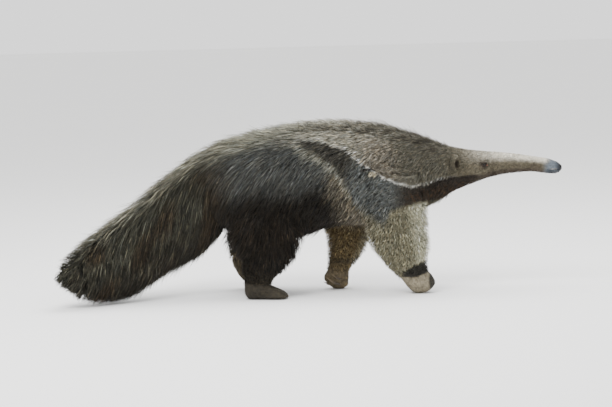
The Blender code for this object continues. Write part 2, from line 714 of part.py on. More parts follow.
def grow_rank(coat, rank, sides, draw, collection):
    """Sets a rank of locks on a coat, on each side asked for: 1 is left and -1 is right."""
    places = np.linspace(rank.start, rank.end, rank.count)
    spacing = (rank.end - rank.start) / max(rank.count - 1, 1)
    for i, place in enumerate(places):
        for j, angle in enumerate(rank.angles):
            for side in sides if angle % 180 else sides[:1]:
                stagger = (j % 2 - 0.5) * spacing / 2
                start = place + stagger + draw.uniform(-LOCK_JITTER, LOCK_JITTER) * spacing
                turn = angle + draw.uniform(-5, 5)
                run = rank.run * draw.uniform(1 - LOCK_JITTER, 1 + LOCK_JITTER)
                reach = draw.uniform(1 - LOCK_JITTER / 2, 1)
                inner = coat.at(start, side * turn, 0)
                out = (coat.at(start, side * turn, 1) - inner).normalized()
                root = inner - out * LOCK_SINK
                bend = coat.at(start + run * 0.4, side * (turn + rank.drop * 0.4), 0.8 + LOCK_LIFT)
                tip = coat.at(start + run, side * (turn + rank.drop), reach)
                width = rank.width * draw.uniform(1 - LOCK_JITTER, 1 + LOCK_JITTER)
                lock(f"lock_{i}_{j}_{side}", root, bend, tip, out, width, collection)


def trunk_coat():
    """The coat of the trunk, by X."""
    rows = spline(TRUNK, COAT_RINGS)[::-1]
    return Coat(upright_rings(trunk_core(rows), COAT_SIDES), upright_rings(rows, COAT_SIDES), rows[:, 0])


def tail_coat():
    """The coat of the tail, by X."""
    rows = spline(TAIL, COAT_RINGS)[::-1]
    return Coat(upright_rings(tail_core(rows), COAT_SIDES), upright_rings(rows, COAT_SIDES), rows[:, 0])


def thigh_coat(joints):
    """The coat of a hind leg, by share of its length."""
    rows = spline(joints, COAT_RINGS)
    share = np.linspace(0, 1, COAT_RINGS)
    return Coat(limb_rings(limb_core(rows), COAT_SIDES), limb_rings(rows, COAT_SIDES), share)


def build_body(parts, helpers):
    """The whole animal without its locks, in one closed surface."""
    body = loft_object("body", upright_rings(trunk_core(spline(TRUNK, TRUNK_RINGS)), TRUNK_SIDES), parts)
    rows = tail_core(spline(TAIL, TAIL_RINGS))
    rows = rows[: round(TAIL_CORE_END * TAIL_RINGS)]
    loft_object("tail_form", upright_rings(rows, TAIL_SIDES), helpers)
    for i, joints in enumerate((RIGHT_FORELEG, LEFT_FORELEG)):
        loft_object(f"foreleg_form_{i}", limb_rings(spline(joints, LIMB_RINGS), LIMB_SIDES), helpers)
    for i, joints in enumerate((RIGHT_HINDLEG, LEFT_HINDLEG)):
        rows = limb_core(spline(joints, LIMB_RINGS))
        loft_object(f"hindleg_form_{i}", limb_rings(rows, LIMB_SIDES), helpers)
    for i, stations in enumerate((RIGHT_FOREFOOT, LEFT_FOREFOOT, RIGHT_HINDFOOT, LEFT_HINDFOOT)):
        loft_object(f"foot_form_{i}", foot_rings(spline(stations, FOOT_RINGS), FOOT_SIDES), helpers)
    apply_boolean(body, "UNION", helpers)
    remove_objects(helpers.objects)
    return body


def finish(parts):
    """Gives each node its colour, and moves all so that the origin is under the middle of the outline."""
    materials = {}
    for name, colour in FINISHES.items():
        materials[name] = new_material(name, colour, ROUGHNESS.get(name, COAT_ROUGHNESS))
    slots = {
        "head": "face",
        "ear": "face",
        "eye": "eye",
        "claw": "claw",
        "neck": "grizzled",
        "torso": "grizzled",
        "foreleg": "pale",
        "forefoot": "pale",
        "hindleg": "dark",
        "hindfoot": "dark",
        "tail": "dark",
    }
    for obj in parts.objects:
        obj.data.transform(Matrix.Translation((0.0, SPINE_Y, 0.0)))
        obj.data.materials.clear()
        obj.data.materials.append(materials[slots[obj.name.split("_")[0]]])
        obj.data.shade_smooth()
        obj.data.set_sharp_from_angle(angle=SHARP_ANGLE)


def main():
    """Builds every part."""
    clear_scene()
    parts = new_collection("giant_anteater")
    helpers = new_collection("helpers")
    locks = new_collection("locks")
    draw = random.Random(LOCK_SEED)
    both = (1, -1)
    body = build_body(parts, helpers)
    head = part_of(body, "head", [turned(HEAD_PLANE)], [], parts, helpers)
    part_of(body, "neck", [HEAD_PLANE, turned(NECK_PLANE)], [leg_planes("foreleg_right")], parts, helpers)
    legs = [leg_planes(name) for name in LEG_REACH]
    coat = trunk_coat()
    for rank in TRUNK_RANKS:
        grow_rank(coat, rank, both, draw, locks)
    part_of(body, "torso", [NECK_PLANE, TAIL_PLANE], legs, parts, helpers, locks)
    coat = tail_coat()
    for rank in [*TAIL_RANKS, TAIL_TIP_RANK]:
        grow_rank(coat, rank, both, draw, locks)
    part_of(body, "tail", [turned(TAIL_PLANE)], legs[2:], parts, helpers, locks)
    thighs = {"hindleg_right": (RIGHT_HINDLEG, -1), "hindleg_left": (LEFT_HINDLEG, 1)}
    feet = {}
    for name in LEG_REACH:
        bounds = leg_planes(name)
        foot_plane = FOOT_PLANE[name]
        if name in thighs:
            joints, side = thighs[name]
            coat = thigh_coat(joints)
            for rank in [*THIGH_RANKS, FRINGE_RANK]:
                grow_rank(coat, rank, [side], draw, locks)
        part_of(body, name, bounds + [foot_plane], [], parts, helpers, locks)
        foot_name = name.replace("leg", "foot")
        feet[foot_name] = part_of(body, foot_name, bounds + [turned(foot_plane)], [], parts, helpers)
    remove_objects([body])
    add_lips(head, helpers)
    add_eyes(head, parts, helpers)
    add_ears(head, parts, helpers)
    carve_mouth(head, helpers)
    for side, word in ((-1, "right"), (1, "left")):
        add_claws(feet["forefoot_" + word], word, FORE_CLAWS, FORE_CLAW_FOOT[word], side, parts, helpers)
        add_claws(feet["hindfoot_" + word], word, HIND_CLAWS, HIND_CLAW_FOOT[word], side, parts, helpers)
    for obj in parts.objects:
        keep_largest(obj)
    finish(parts)


main()
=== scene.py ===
"""The looks of a life-size giant anteater in mid stride.

One skin with the ears on it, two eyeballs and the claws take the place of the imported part's plain forms, and
a coat of solid tufts lies over the skin. The head points along +X, the right flank faces -Y and the floor is
z = 0. Shapes are worked out about the spine at y = 0, and every finished mesh is moved to SPINE_Y.
"""

import sys

import logging
import math
from dataclasses import dataclass, field
from enum import Enum
from itertools import product

import bpy
import numpy as np
from mathutils import Matrix, Vector


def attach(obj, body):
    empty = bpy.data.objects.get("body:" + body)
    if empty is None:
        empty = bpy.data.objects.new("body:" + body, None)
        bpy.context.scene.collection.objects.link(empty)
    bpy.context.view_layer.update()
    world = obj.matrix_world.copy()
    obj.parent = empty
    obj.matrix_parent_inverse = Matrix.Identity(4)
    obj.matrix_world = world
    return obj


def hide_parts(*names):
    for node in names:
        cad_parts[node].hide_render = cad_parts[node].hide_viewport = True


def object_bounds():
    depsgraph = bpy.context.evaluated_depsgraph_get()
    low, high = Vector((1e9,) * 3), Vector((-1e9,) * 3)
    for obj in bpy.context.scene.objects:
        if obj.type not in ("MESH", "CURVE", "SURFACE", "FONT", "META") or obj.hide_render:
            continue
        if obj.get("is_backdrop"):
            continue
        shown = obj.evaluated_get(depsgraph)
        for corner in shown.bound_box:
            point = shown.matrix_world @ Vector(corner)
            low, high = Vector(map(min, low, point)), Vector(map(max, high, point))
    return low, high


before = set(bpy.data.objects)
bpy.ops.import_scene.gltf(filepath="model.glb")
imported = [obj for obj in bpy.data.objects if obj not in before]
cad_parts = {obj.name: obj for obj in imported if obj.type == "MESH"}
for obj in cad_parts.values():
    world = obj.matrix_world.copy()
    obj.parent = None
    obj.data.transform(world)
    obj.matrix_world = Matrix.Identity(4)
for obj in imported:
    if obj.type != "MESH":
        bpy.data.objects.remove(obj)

Array = np.ndarray
Point = tuple[float, float, float]
Pair = tuple[float, float]
Socket = bpy.types.NodeSocket
log = logging.getLogger("anteater")

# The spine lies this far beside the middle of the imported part.
SPINE_Y = 0.066
SEED = 11
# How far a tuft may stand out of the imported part's box.
ROOM = 0.016
BAKE_MAP = "OFBake"
TINT = "tint"
FALL = "fall"
GAZE = "gaze"
WET = "wet"
FAR = 1.0e3
# The least that a length or a radius is divided by.
TINY = 1e-9
# The least height of a section that a share of its height is worked out for.
LEAST_HEIGHT = 0.01


class Side(Enum):
    """The two sides of the animal, with the sign of their Y."""

    RIGHT = -1
    LEFT = 1


class Slot(Enum):
    """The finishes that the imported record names."""

    FACE = "face"
    GRIZZLED = "grizzled"
    DARK = "dark"
    PALE = "pale"
    CLAW = "claw"
    EYE = "eye"


def unit(vectors: Array) -> Array:
    """Each vector divided by its length."""
    return vectors / np.maximum(np.linalg.norm(vectors, axis=-1, keepdims=True), TINY)


def fade(value: Array, start: float, end: float) -> Array:
    """A smooth step, 3t^2 - 2t^3, that is 0 at start and 1 at end."""
    t = np.clip((value - start) / (end - start), 0.0, 1.0)
    return t * t * (3.0 - 2.0 * t)


def bell(value: Array, middle: float, width: float) -> Array:
    """A hump, exp(-d^2), where d is the distance from the middle in widths."""
    return np.exp(-(((value - middle) / width) ** 2))


def blend_values(first: Array, second: Array, share: Array) -> Array:
    """Numbers of first moved towards second by a share for each."""
    return first * (1.0 - share) + second * share


def blend(first: Array, second: Array, share: Array) -> Array:
    """Rows of first moved towards second by a share for each row."""
    return blend_values(first, second, np.asarray(share)[..., None])


def mirrored(points: Array) -> Array:
    """The points with those of the right side moved across to the left."""
    return np.stack([points[..., 0], np.abs(points[..., 1]), points[..., 2]], axis=-1)


def soft_min(first: Array, second: Array, reach: float) -> Array:
    """The lesser of two distances, rounded by a parabola where they differ by less than reach."""
    h = np.clip(0.5 + 0.5 * (second - first) / reach, 0.0, 1.0)
    return second + (first - second) * h - reach * h * (1.0 - h)


def soft_max(first: Array, second: Array, reach: float) -> Array:
    """The greater of two distances, rounded in the same way."""
    return -soft_min(-first, -second, reach)


def srgb(red: float, green: float, blue: float) -> Array:
    """A display colour from 0 to 255 as linear light."""
    foot, slope, lift, power = 0.04045, 12.92, 0.055, 2.4
    share = np.array([red, green, blue]) / 255.0
    return np.where(share <= foot, share / slope, ((share + lift) / (1 + lift)) ** power)


def spline(rows: list | tuple, count: int) -> Array:
    """Rows of numbers read at even steps along a Catmull-Rom curve through them.

    Args:
        rows: The numbers that the curve passes through.
        count: How many rows to read.

    Returns:
        An array with count rows.
    """
    known = np.array(rows, float)
    known = np.vstack([2 * known[0] - known[1], known, 2 * known[-1] - known[-2]])
    at = np.minimum(np.linspace(0, len(known) - 3, count), len(known) - 3 - 1e-9)
    i = at.astype(int)
    t = (at - i)[:, None]
    a, b, c, d = known[i], known[i + 1], known[i + 2], known[i + 3]
    bend = 2 * a - 5 * b + 4 * c - d
    twist = 3 * b - a - 3 * c + d
    return 0.5 * (2 * b + (c - a) * t + bend * t**2 + twist * t**3)


def ripple(points: Array, size: float, seed: int) -> Array:
    """A smooth random field from -1 to 1: the mean of sines of the place along random directions.

    Args:
        points: Places, with the last axis x, y, z.
        size: The distance between swells, in metres.
        seed: Which field.

    Returns:
        One value for each place.
    """
    count, longest, shortest, gain = 5, 0.7, 1.5, 1.6
    draw = np.random.default_rng(seed)
    waves = unit(draw.normal(size=(count, 3))) * draw.uniform(longest, shortest, (count, 1))
    phase = draw.uniform(0, 2 * math.pi, count)
    return np.sin(points @ waves.T * (2 * math.pi / size) + phase).mean(axis=-1) * gain


def ellipsoid(points: Array, middle: tuple, radii: tuple) -> Array:
    """How far points lie outside an ellipsoid: the distance from its middle less its radius that way."""
    offset = points - np.array(middle)
    scaled = np.linalg.norm(offset / np.array(radii), axis=-1)
    length = np.linalg.norm(offset, axis=-1)
    return length - length / np.maximum(scaled, TINY)


@dataclass(frozen=True)
class Chart:
    """The rectangle of the unwrap that one form is laid out in."""

    left: float
    low: float
    width: float
    height: float

    def place(self, along: Array, around: Array) -> Array:
        """The point of the unwrap for shares of the form's length and of its girth."""
        return np.stack([self.left + self.width * along, self.low + self.height * around], axis=-1)


# How many turns and places of a form are looked at for its box.
BOX_GRID = (25, 61)


@dataclass
class Form:
    """A part of the body between its skin and the outline of its coat.

    A place is a distance along the form and a turn is the angle round it, positive towards +Y.
    """

    name: str
    outline: Array
    skin: Array
    chart: Chart
    margin: float = 0.05

    def __post_init__(self) -> None:
        """Finds the box that holds the form, widened by the margin."""
        turns, places = BOX_GRID
        turn = np.linspace(-math.pi, math.pi, turns)
        place = np.linspace(self.first, self.last, places)
        grid = self.surface(self.outline, *np.meshgrid(place, turn, indexing="ij"))
        self.low = grid.min(axis=(0, 1)) - self.margin
        self.high = grid.max(axis=(0, 1)) + self.margin

    @property
    def first(self) -> float:
        """The place where the form starts."""
        return float(self.outline[0, 0])

    @property
    def last(self) -> float:
        """The place where the form ends."""
        return float(self.outline[-1, 0])

    def read(self, rows: Array, place: Array) -> list[Array]:
        """The numbers of a form's sections at each place, between the rows next to it."""
        return [np.interp(place, rows[:, 0], rows[:, i]) for i in range(1, rows.shape[1])]

    def surface(self, rows: Array, place: Array, turn: Array) -> Array:
        """Points of the form's skin or outline."""
        raise NotImplementedError

    def outside(self, rows: Array, points: Array) -> Array:
        """About how far points lie outside the form's skin or outline."""
        raise NotImplementedError

    def turn_of(self, points: Array) -> tuple[Array, Array]:
        """The place and the turn of points."""
        raise NotImplementedError

    def unwrap(self, place: Array, turn: Array) -> Array:
        """The point of the unwrap for a place and a turn."""
        along = np.clip((place - self.first) / (self.last - self.first), 0, 1)
        return self.chart.place(along, turn / (2 * math.pi) + 0.5)

    def closed(self, distance: Array, beyond: Array) -> Array:
        """The distance with the form's ends closed: beyond is how far a point lies past the nearer end."""
        outer = np.hypot(np.maximum(distance, 0), np.maximum(beyond, 0))
        return outer + np.minimum(np.maximum(distance, beyond), 0)

    def near(self, points: Array) -> Array:
        """Distance outside the skin for points near the form, and a large number for the others."""
        inside = np.all((points > self.low) & (points < self.high), axis=-1)
        made = np.full(points.shape[:-1], FAR)
        made[inside] = self.outside(self.skin, points[inside])
        return made


@dataclass
class UprightForm(Form):
    """A form in upright sections across X: top, bottom, widest height, half width, egg shape and swing."""

    def surface(self, rows: Array, place: Array, turn: Array) -> Array:
        """y = swing + half width * sin * (1 - egg * cos), z = widest height + reach up or down * cos."""
        top, bottom, wide, half_width, egg, swing = self.read(rows, place)
        sine, cosine = np.sin(turn), np.cos(turn)
        y = swing + half_width * sine * (1 - egg * cosine)
        z = wide + np.where(cosine > 0, top - wide, wide - bottom) * cosine
        return np.stack(np.broadcast_arrays(place, y, z), axis=-1)

    def outside(self, rows: Array, points: Array) -> Array:
        """In a section, the distance from its middle less the radius of the egg that way."""
        x = points[..., 0]
        top, bottom, wide, half_width, egg, swing = self.read(rows, x)
        y, z = points[..., 1] - swing, points[..., 2] - wide
        tall = np.where(z > 0, top - wide, wide - bottom)
        broad = half_width * (1 - egg * np.clip(z / tall, -1, 1))
        length = np.hypot(y, z)
        radius = length / np.maximum(np.hypot(y / broad, z / tall), TINY)
        beyond = np.maximum(rows[0, 0] - x, x - rows[-1, 0])
        return self.closed(length - radius, beyond)

    def turn_of(self, points: Array) -> tuple[Array, Array]:
        """x, and the angle from the crown in a section scaled to a circle."""
        x = points[..., 0]
        top, bottom, wide, half_width, egg, swing = self.read(self.outline, x)
        y, z = points[..., 1] - swing, points[..., 2] - wide
        return x, np.arctan2(y / half_width, z / np.where(z > 0, top - wide, wide - bottom))


@dataclass
class LimbForm(Form):
    """A form in level sections by height: middle x and y, half depth and half width, and how it slopes."""

    def surface(self, rows: Array, place: Array, turn: Array) -> Array:
        """x = middle + half depth * cos, y = middle + half width * sin, at the height of the place."""
        x, y, depth, width, _ = self.read(rows, place)
        made = (x + depth * np.cos(turn), y + width * np.sin(turn), place)
        return np.stack(np.broadcast_arrays(*made), axis=-1)

    def outside(self, rows: Array, points: Array) -> Array:
        """In a level section, the distance from its middle less its radius, times the slope's cosine."""
        z = points[..., 2]
        x, y, depth, width, level = self.read(rows, z)
        x, y = points[..., 0] - x, points[..., 1] - y
        length = np.hypot(x, y)
        radius = length / np.maximum(np.hypot(x / depth, y / width), TINY)
        beyond = np.maximum(rows[0, 0] - z, z - rows[-1, 0])
        return self.closed((length - radius) * level, beyond)

    def turn_of(self, points: Array) -> tuple[Array, Array]:
        """Height, and the angle from the front in a section scaled to a circle."""
        z = points[..., 2]
        x, y, depth, width, _ = self.read(self.outline, z)
        return z, np.arctan2((points[..., 1] - y) / width, (points[..., 0] - x) / depth)


# The outline of the coat from tail root to nose: x, top, bottom, widest height, half width, egg, swing.
TRUNK = (
    (0.9085, 0.4365, 0.4255, 0.431, 0.0035, 0.00, 0.0),
    (0.906, 0.440, 0.421, 0.431, 0.009, 0.00, 0.0),
    (0.898, 0.447, 0.413, 0.431, 0.016, 0.00, 0.0),
    (0.880, 0.456, 0.409, 0.433, 0.0205, 0.00, 0.0),
    (0.850, 0.466, 0.411, 0.438, 0.0215, 0.00, 0.0),
    (0.798, 0.475, 0.418, 0.446, 0.0235, 0.00, 0.0),
    (0.745, 0.484, 0.416, 0.448, 0.028, 0.00, 0.0),
    (0.690, 0.491, 0.410, 0.448, 0.034, 0.02, 0.0),
    (0.640, 0.496, 0.399, 0.448, 0.040, 0.04, 0.0),
    (0.590, 0.502, 0.382, 0.444, 0.047, 0.05, 0.0),
    (0.546, 0.510, 0.366, 0.440, 0.053, 0.06, 0.0),
    (0.500, 0.522, 0.345, 0.435, 0.060, 0.10, 0.0),
    (0.450, 0.540, 0.318, 0.428, 0.069, 0.12, 0.0),
    (0.400, 0.560, 0.296, 0.415, 0.080, 0.14, 0.0),
    (0.331, 0.584, 0.270, 0.400, 0.098, 0.16, 0.0),
    (0.260, 0.602, 0.248, 0.390, 0.116, 0.18, 0.0),
    (0.188, 0.615, 0.246, 0.385, 0.128, 0.18, 0.0),
    (0.116, 0.622, 0.244, 0.385, 0.136, 0.18, 0.0),
    (0.043, 0.625, 0.230, 0.385, 0.141, 0.18, 0.0),
    (-0.029, 0.624, 0.206, 0.385, 0.144, 0.18, 0.0),
    (-0.100, 0.615, 0.222, 0.385, 0.152, 0.16, 0.0),
    (-0.172, 0.594, 0.224, 0.390, 0.153, 0.12, 0.0),
    (-0.244, 0.575, 0.230, 0.395, 0.142, 0.08, 0.0),
    (-0.317, 0.553, 0.250, 0.400, 0.118, 0.04, 0.0),
    (-0.360, 0.530, 0.280, 0.405, 0.090, 0.00, 0.0),
    (-0.385, 0.500, 0.320, 0.410, 0.050, 0.00, 0.0),
)
# How far the trunk's skin lies inside the outline, by x.
TRUNK_DEPTH_X = (-0.385, -0.100, 0.050, 0.250, 0.450, 0.540, 0.640, 0.800, 0.910)
TRUNK_DEPTH = (0.046, 0.046, 0.034, 0.020, 0.010, 0.0055, 0.0030, 0.0016, 0.0008)

TAIL = (
    (-0.200, 0.560, 0.300, 0.440, 0.085, 0.0, 0.000),
    (-0.290, 0.555, 0.240, 0.430, 0.100, 0.0, 0.000),
    (-0.345, 0.543, 0.188, 0.410, 0.105, 0.0, -0.004),
    (-0.390, 0.525, 0.145, 0.380, 0.104, 0.0, -0.012),
    (-0.445, 0.495, 0.117, 0.345, 0.100, 0.0, -0.026),
    (-0.500, 0.452, 0.094, 0.305, 0.096, 0.0, -0.046),
    (-0.560, 0.406, 0.058, 0.265, 0.094, 0.0, -0.072),
    (-0.620, 0.356, 0.022, 0.225, 0.092, 0.0, -0.102),
    (-0.680, 0.316, 0.002, 0.190, 0.090, 0.0, -0.136),
    (-0.740, 0.276, 0.001, 0.160, 0.088, 0.0, -0.172),
    (-0.800, 0.243, 0.001, 0.138, 0.084, 0.0, -0.208),
    (-0.850, 0.220, 0.004, 0.126, 0.074, 0.0, -0.236),
    (-0.885, 0.202, 0.034, 0.120, 0.052, 0.0, -0.254),
    (-0.903, 0.180, 0.080, 0.124, 0.018, 0.0, -0.262),
)
# The tail's flesh, as shares of the outline above, below and beside its middle, and how it ends.
TAIL_CROWN_SHARE = 0.66
TAIL_UNDER_SHARE = 0.60
TAIL_SIDE_SHARE = 0.55
TAIL_END_X = (-0.903, -0.860, -0.800, -0.700)
TAIL_END_SHARE = (0.02, 0.30, 0.80, 1.0)

# Limbs: middle x, y and z, half depth along the stride and half width across, and then the middle x, half
# depth and half width of the outline of the hair.
LIMBS = {
    "foreleg_right": (
        (0.290, -0.070, 0.420, 0.105, 0.050, 0.290, 0.108, 0.053),
        (0.300, -0.088, 0.320, 0.108, 0.056, 0.299, 0.113, 0.061),
        (0.308, -0.094, 0.240, 0.103, 0.058, 0.306, 0.111, 0.064),
        (0.316, -0.090, 0.187, 0.096, 0.056, 0.312, 0.107, 0.063),
        (0.326, -0.086, 0.151, 0.086, 0.052, 0.324, 0.093, 0.058),
        (0.338, -0.082, 0.108, 0.066, 0.045, 0.338, 0.068, 0.047),
        (0.354, -0.078, 0.079, 0.050, 0.038, 0.354, 0.050, 0.038),
        (0.368, -0.076, 0.060, 0.045, 0.036, 0.368, 0.045, 0.036),
    ),
    "foreleg_left": (
        (0.190, 0.070, 0.420, 0.100, 0.050, 0.192, 0.104, 0.053),
        (0.165, 0.086, 0.320, 0.096, 0.055, 0.170, 0.104, 0.060),
        (0.148, 0.090, 0.240, 0.086, 0.056, 0.156, 0.099, 0.062),
        (0.138, 0.088, 0.187, 0.072, 0.052, 0.147, 0.086, 0.059),
        (0.130, 0.085, 0.144, 0.060, 0.047, 0.136, 0.070, 0.053),
        (0.114, 0.080, 0.105, 0.045, 0.040, 0.116, 0.048, 0.042),
        (0.100, 0.077, 0.076, 0.036, 0.035, 0.100, 0.036, 0.035),
        (0.094, 0.076, 0.058, 0.036, 0.035, 0.094, 0.036, 0.035),
    ),
    "hindleg_right": (
        (-0.150, -0.060, 0.400, 0.105, 0.050, -0.150, 0.135, 0.060),
        (-0.152, -0.084, 0.300, 0.110, 0.050, -0.158, 0.150, 0.064),
        (-0.154, -0.112, 0.208, 0.106, 0.053, -0.164, 0.136, 0.062),
        (-0.155, -0.122, 0.160, 0.082, 0.052, -0.148, 0.090, 0.056),
        (-0.169, -0.124, 0.115, 0.061, 0.046, -0.164, 0.070, 0.050),
        (-0.188, -0.125, 0.080, 0.048, 0.039, -0.186, 0.054, 0.041),
        (-0.193, -0.125, 0.056, 0.045, 0.036, -0.193, 0.045, 0.036),
    ),
    "hindleg_left": (
        (-0.155, 0.060, 0.400, 0.105, 0.050, -0.155, 0.135, 0.060),
        (-0.165, 0.084, 0.300, 0.106, 0.050, -0.165, 0.148, 0.064),
        (-0.182, 0.110, 0.225, 0.100, 0.053, -0.174, 0.128, 0.062),
        (-0.202, 0.122, 0.175, 0.078, 0.050, -0.200, 0.084, 0.056),
        (-0.226, 0.124, 0.140, 0.056, 0.043, -0.226, 0.057, 0.046),
        (-0.240, 0.125, 0.112, 0.044, 0.037, -0.240, 0.044, 0.038),
    ),
}
# Depth of the coat on each limb at heights from floor to shoulder or hip.
LIMB_DEPTH_Z = (0.05, 0.12, 0.20, 0.30)
LIMB_DEPTH = {"fore": (0.003, 0.005, 0.008, 0.010), "hind": (0.004, 0.009, 0.020, 0.024)}
FLESH_COLUMNS = [0, 1, 2, 3, 4]
HAIR_COLUMNS = [5, 1, 2, 6, 7]

# Feet, heel to toe: x, top, bottom, middle y and half width. They are widest a third of the way up.
FEET = {
    "forefoot_right": (
        (0.322, 0.078, 0.054, -0.078, 0.016),
        (0.334, 0.092, 0.034, -0.077, 0.030),
        (0.348, 0.097, 0.017, -0.077, 0.037),
        (0.362, 0.098, 0.005, -0.077, 0.040),
        (0.384, 0.094, -0.001, -0.077, 0.041),
        (0.404, 0.084, 0.002, -0.077, 0.039),
        (0.420, 0.072, 0.010, -0.078, 0.034),
        (0.432, 0.059, 0.021, -0.078, 0.025),
        (0.439, 0.046, 0.031, -0.078, 0.012),
    ),
    "forefoot_left": (
        (0.046, 0.052, 0.036, 0.074, 0.014),
        (0.054, 0.063, 0.025, 0.074, 0.026),
        (0.066, 0.078, 0.014, 0.075, 0.034),
        (0.080, 0.091, 0.003, 0.076, 0.038),
        (0.094, 0.097, -0.002, 0.077, 0.039),
        (0.108, 0.097, -0.002, 0.077, 0.037),
        (0.120, 0.090, 0.004, 0.077, 0.032),
        (0.129, 0.076, 0.018, 0.077, 0.024),
        (0.134, 0.062, 0.034, 0.077, 0.012),
    ),
    "hindfoot_right": (
        (-0.239, 0.050, 0.026, -0.125, 0.012),
        (-0.234, 0.062, 0.012, -0.125, 0.022),
        (-0.222, 0.075, 0.000, -0.125, 0.031),
        (-0.200, 0.080, -0.002, -0.125, 0.036),
        (-0.170, 0.066, -0.002, -0.127, 0.039),
        (-0.145, 0.050, -0.002, -0.129, 0.043),
        (-0.122, 0.039, -0.001, -0.130, 0.044),
        (-0.105, 0.031, 0.000, -0.131, 0.040),
        (-0.094, 0.024, 0.003, -0.131, 0.032),
        (-0.088, 0.017, 0.008, -0.131, 0.018),
    ),
    "hindfoot_left": (
        (-0.287, 0.118, 0.098, 0.124, 0.010),
        (-0.281, 0.132, 0.080, 0.124, 0.022),
        (-0.268, 0.142, 0.056, 0.125, 0.031),
        (-0.250, 0.140, 0.034, 0.125, 0.036),
        (-0.230, 0.118, 0.016, 0.126, 0.038),
        (-0.210, 0.086, 0.003, 0.128, 0.041),
        (-0.190, 0.056, -0.002, 0.130, 0.044),
        (-0.172, 0.038, -0.001, 0.131, 0.041),
        (-0.160, 0.027, 0.002, 0.131, 0.032),
        (-0.154, 0.019, 0.007, 0.131, 0.018),
    ),
}
FOOT_DEPTH = 0.0016
# The lowest that feet reach.
FLOOR_GAP = 0.0004
FOOT_WIDE = 1.0 / 3.0
TABLE_ROWS = 241

CHARTS = {
    "trunk": Chart(0.015, 0.02, 0.62, 0.54),
    "tail": Chart(0.015, 0.62, 0.37, 0.36),
    "foreleg_right": Chart(0.42, 0.62, 0.16, 0.16),
    "foreleg_left": Chart(0.61, 0.62, 0.16, 0.16),
    "hindleg_right": Chart(0.80, 0.62, 0.16, 0.16),
    "hindleg_left": Chart(0.42, 0.81, 0.16, 0.16),
    "forefoot_right": Chart(0.67, 0.02, 0.12, 0.22),
    "forefoot_left": Chart(0.67, 0.27, 0.12, 0.22),
    "hindfoot_right": Chart(0.82, 0.02, 0.14, 0.22),
    "hindfoot_left": Chart(0.82, 0.27, 0.14, 0.22),
    "small": Chart(0.61, 0.81, 0.16, 0.16),
}


def trunk_form() -> UprightForm:
    """Head, neck and torso in one form, its skin inside the outline by a depth read by x."""
    outline = spline(TRUNK[::-1], TABLE_ROWS)
    skin = outline.copy()
    depth = np.interp(skin[:, 0], TRUNK_DEPTH_X, TRUNK_DEPTH)
    skin[:, 1] -= depth
    skin[:, 2] += depth
    skin[:, 4] -= depth * np.minimum(1.0, skin[:, 4] / (2 * depth))
    return UprightForm("trunk", outline, skin, CHARTS["trunk"])


def tail_form() -> UprightForm:
    """The tail: its skin is a share of the outline above, below and beside the middle, ending early."""
    outline = spline(TAIL[::-1], TABLE_ROWS)
    skin = outline.copy()
    end = np.interp(skin[:, 0], TAIL_END_X, TAIL_END_SHARE)
    skin[:, 1] = skin[:, 3] + TAIL_CROWN_SHARE * end * (outline[:, 1] - outline[:, 3])
    skin[:, 2] = skin[:, 3] + TAIL_UNDER_SHARE * end * (outline[:, 2] - outline[:, 3])
    skin[:, 4] = TAIL_SIDE_SHARE * end * outline[:, 4]
    return UprightForm("tail", outline, skin, CHARTS["tail"])


def limb_form(name: str) -> LimbForm:
    """A limb by height, its skin inside the outline of its hair by the coat's depth."""
    joints = np.array(LIMBS[name][::-1])
    skin = level_rows(joints[:, FLESH_COLUMNS])
    skin[:, 3:5] -= np.interp(skin[:, 0], LIMB_DEPTH_Z, LIMB_DEPTH[name[:4]])[:, None]
    return LimbForm(name, level_rows(joints[:, HAIR_COLUMNS]), skin, CHARTS[name])


def level_rows(joints: Array) -> Array:
    """A limb's sections by height: middle x and y, half sizes, and the cosine of its slope.

    The depth is measured level: the depth square to the limb over that cosine.
    """
    x, y, z, depth, width = spline(joints, TABLE_ROWS).T
    level = 1.0 / np.sqrt(1.0 + np.gradient(x, z) ** 2)
    return np.stack([z, x, y, depth / level, width, level], axis=1)


def foot_form(name: str) -> UprightForm:
    """A foot from heel to toe."""
    x, top, bottom, y, half_width = spline(FEET[name], TABLE_ROWS).T
    bottom = np.maximum(bottom, FLOOR_GAP)
    wide = bottom + (top - bottom) * FOOT_WIDE
    outline = np.stack([x, top, bottom, wide, half_width, 0 * x, y], axis=1)
    skin = outline.copy()
    skin[:, 1] -= FOOT_DEPTH
    skin[:, 4] -= FOOT_DEPTH
    return UprightForm(name, outline, skin, CHARTS[name])


@dataclass(frozen=True)
class Claw:
    """A claw on a right foot: its root from the foot's own point, its direction, curl and size."""

    root: Point
    ahead: Point
    curl: Point
    length: float
    radius: float
    turn: float


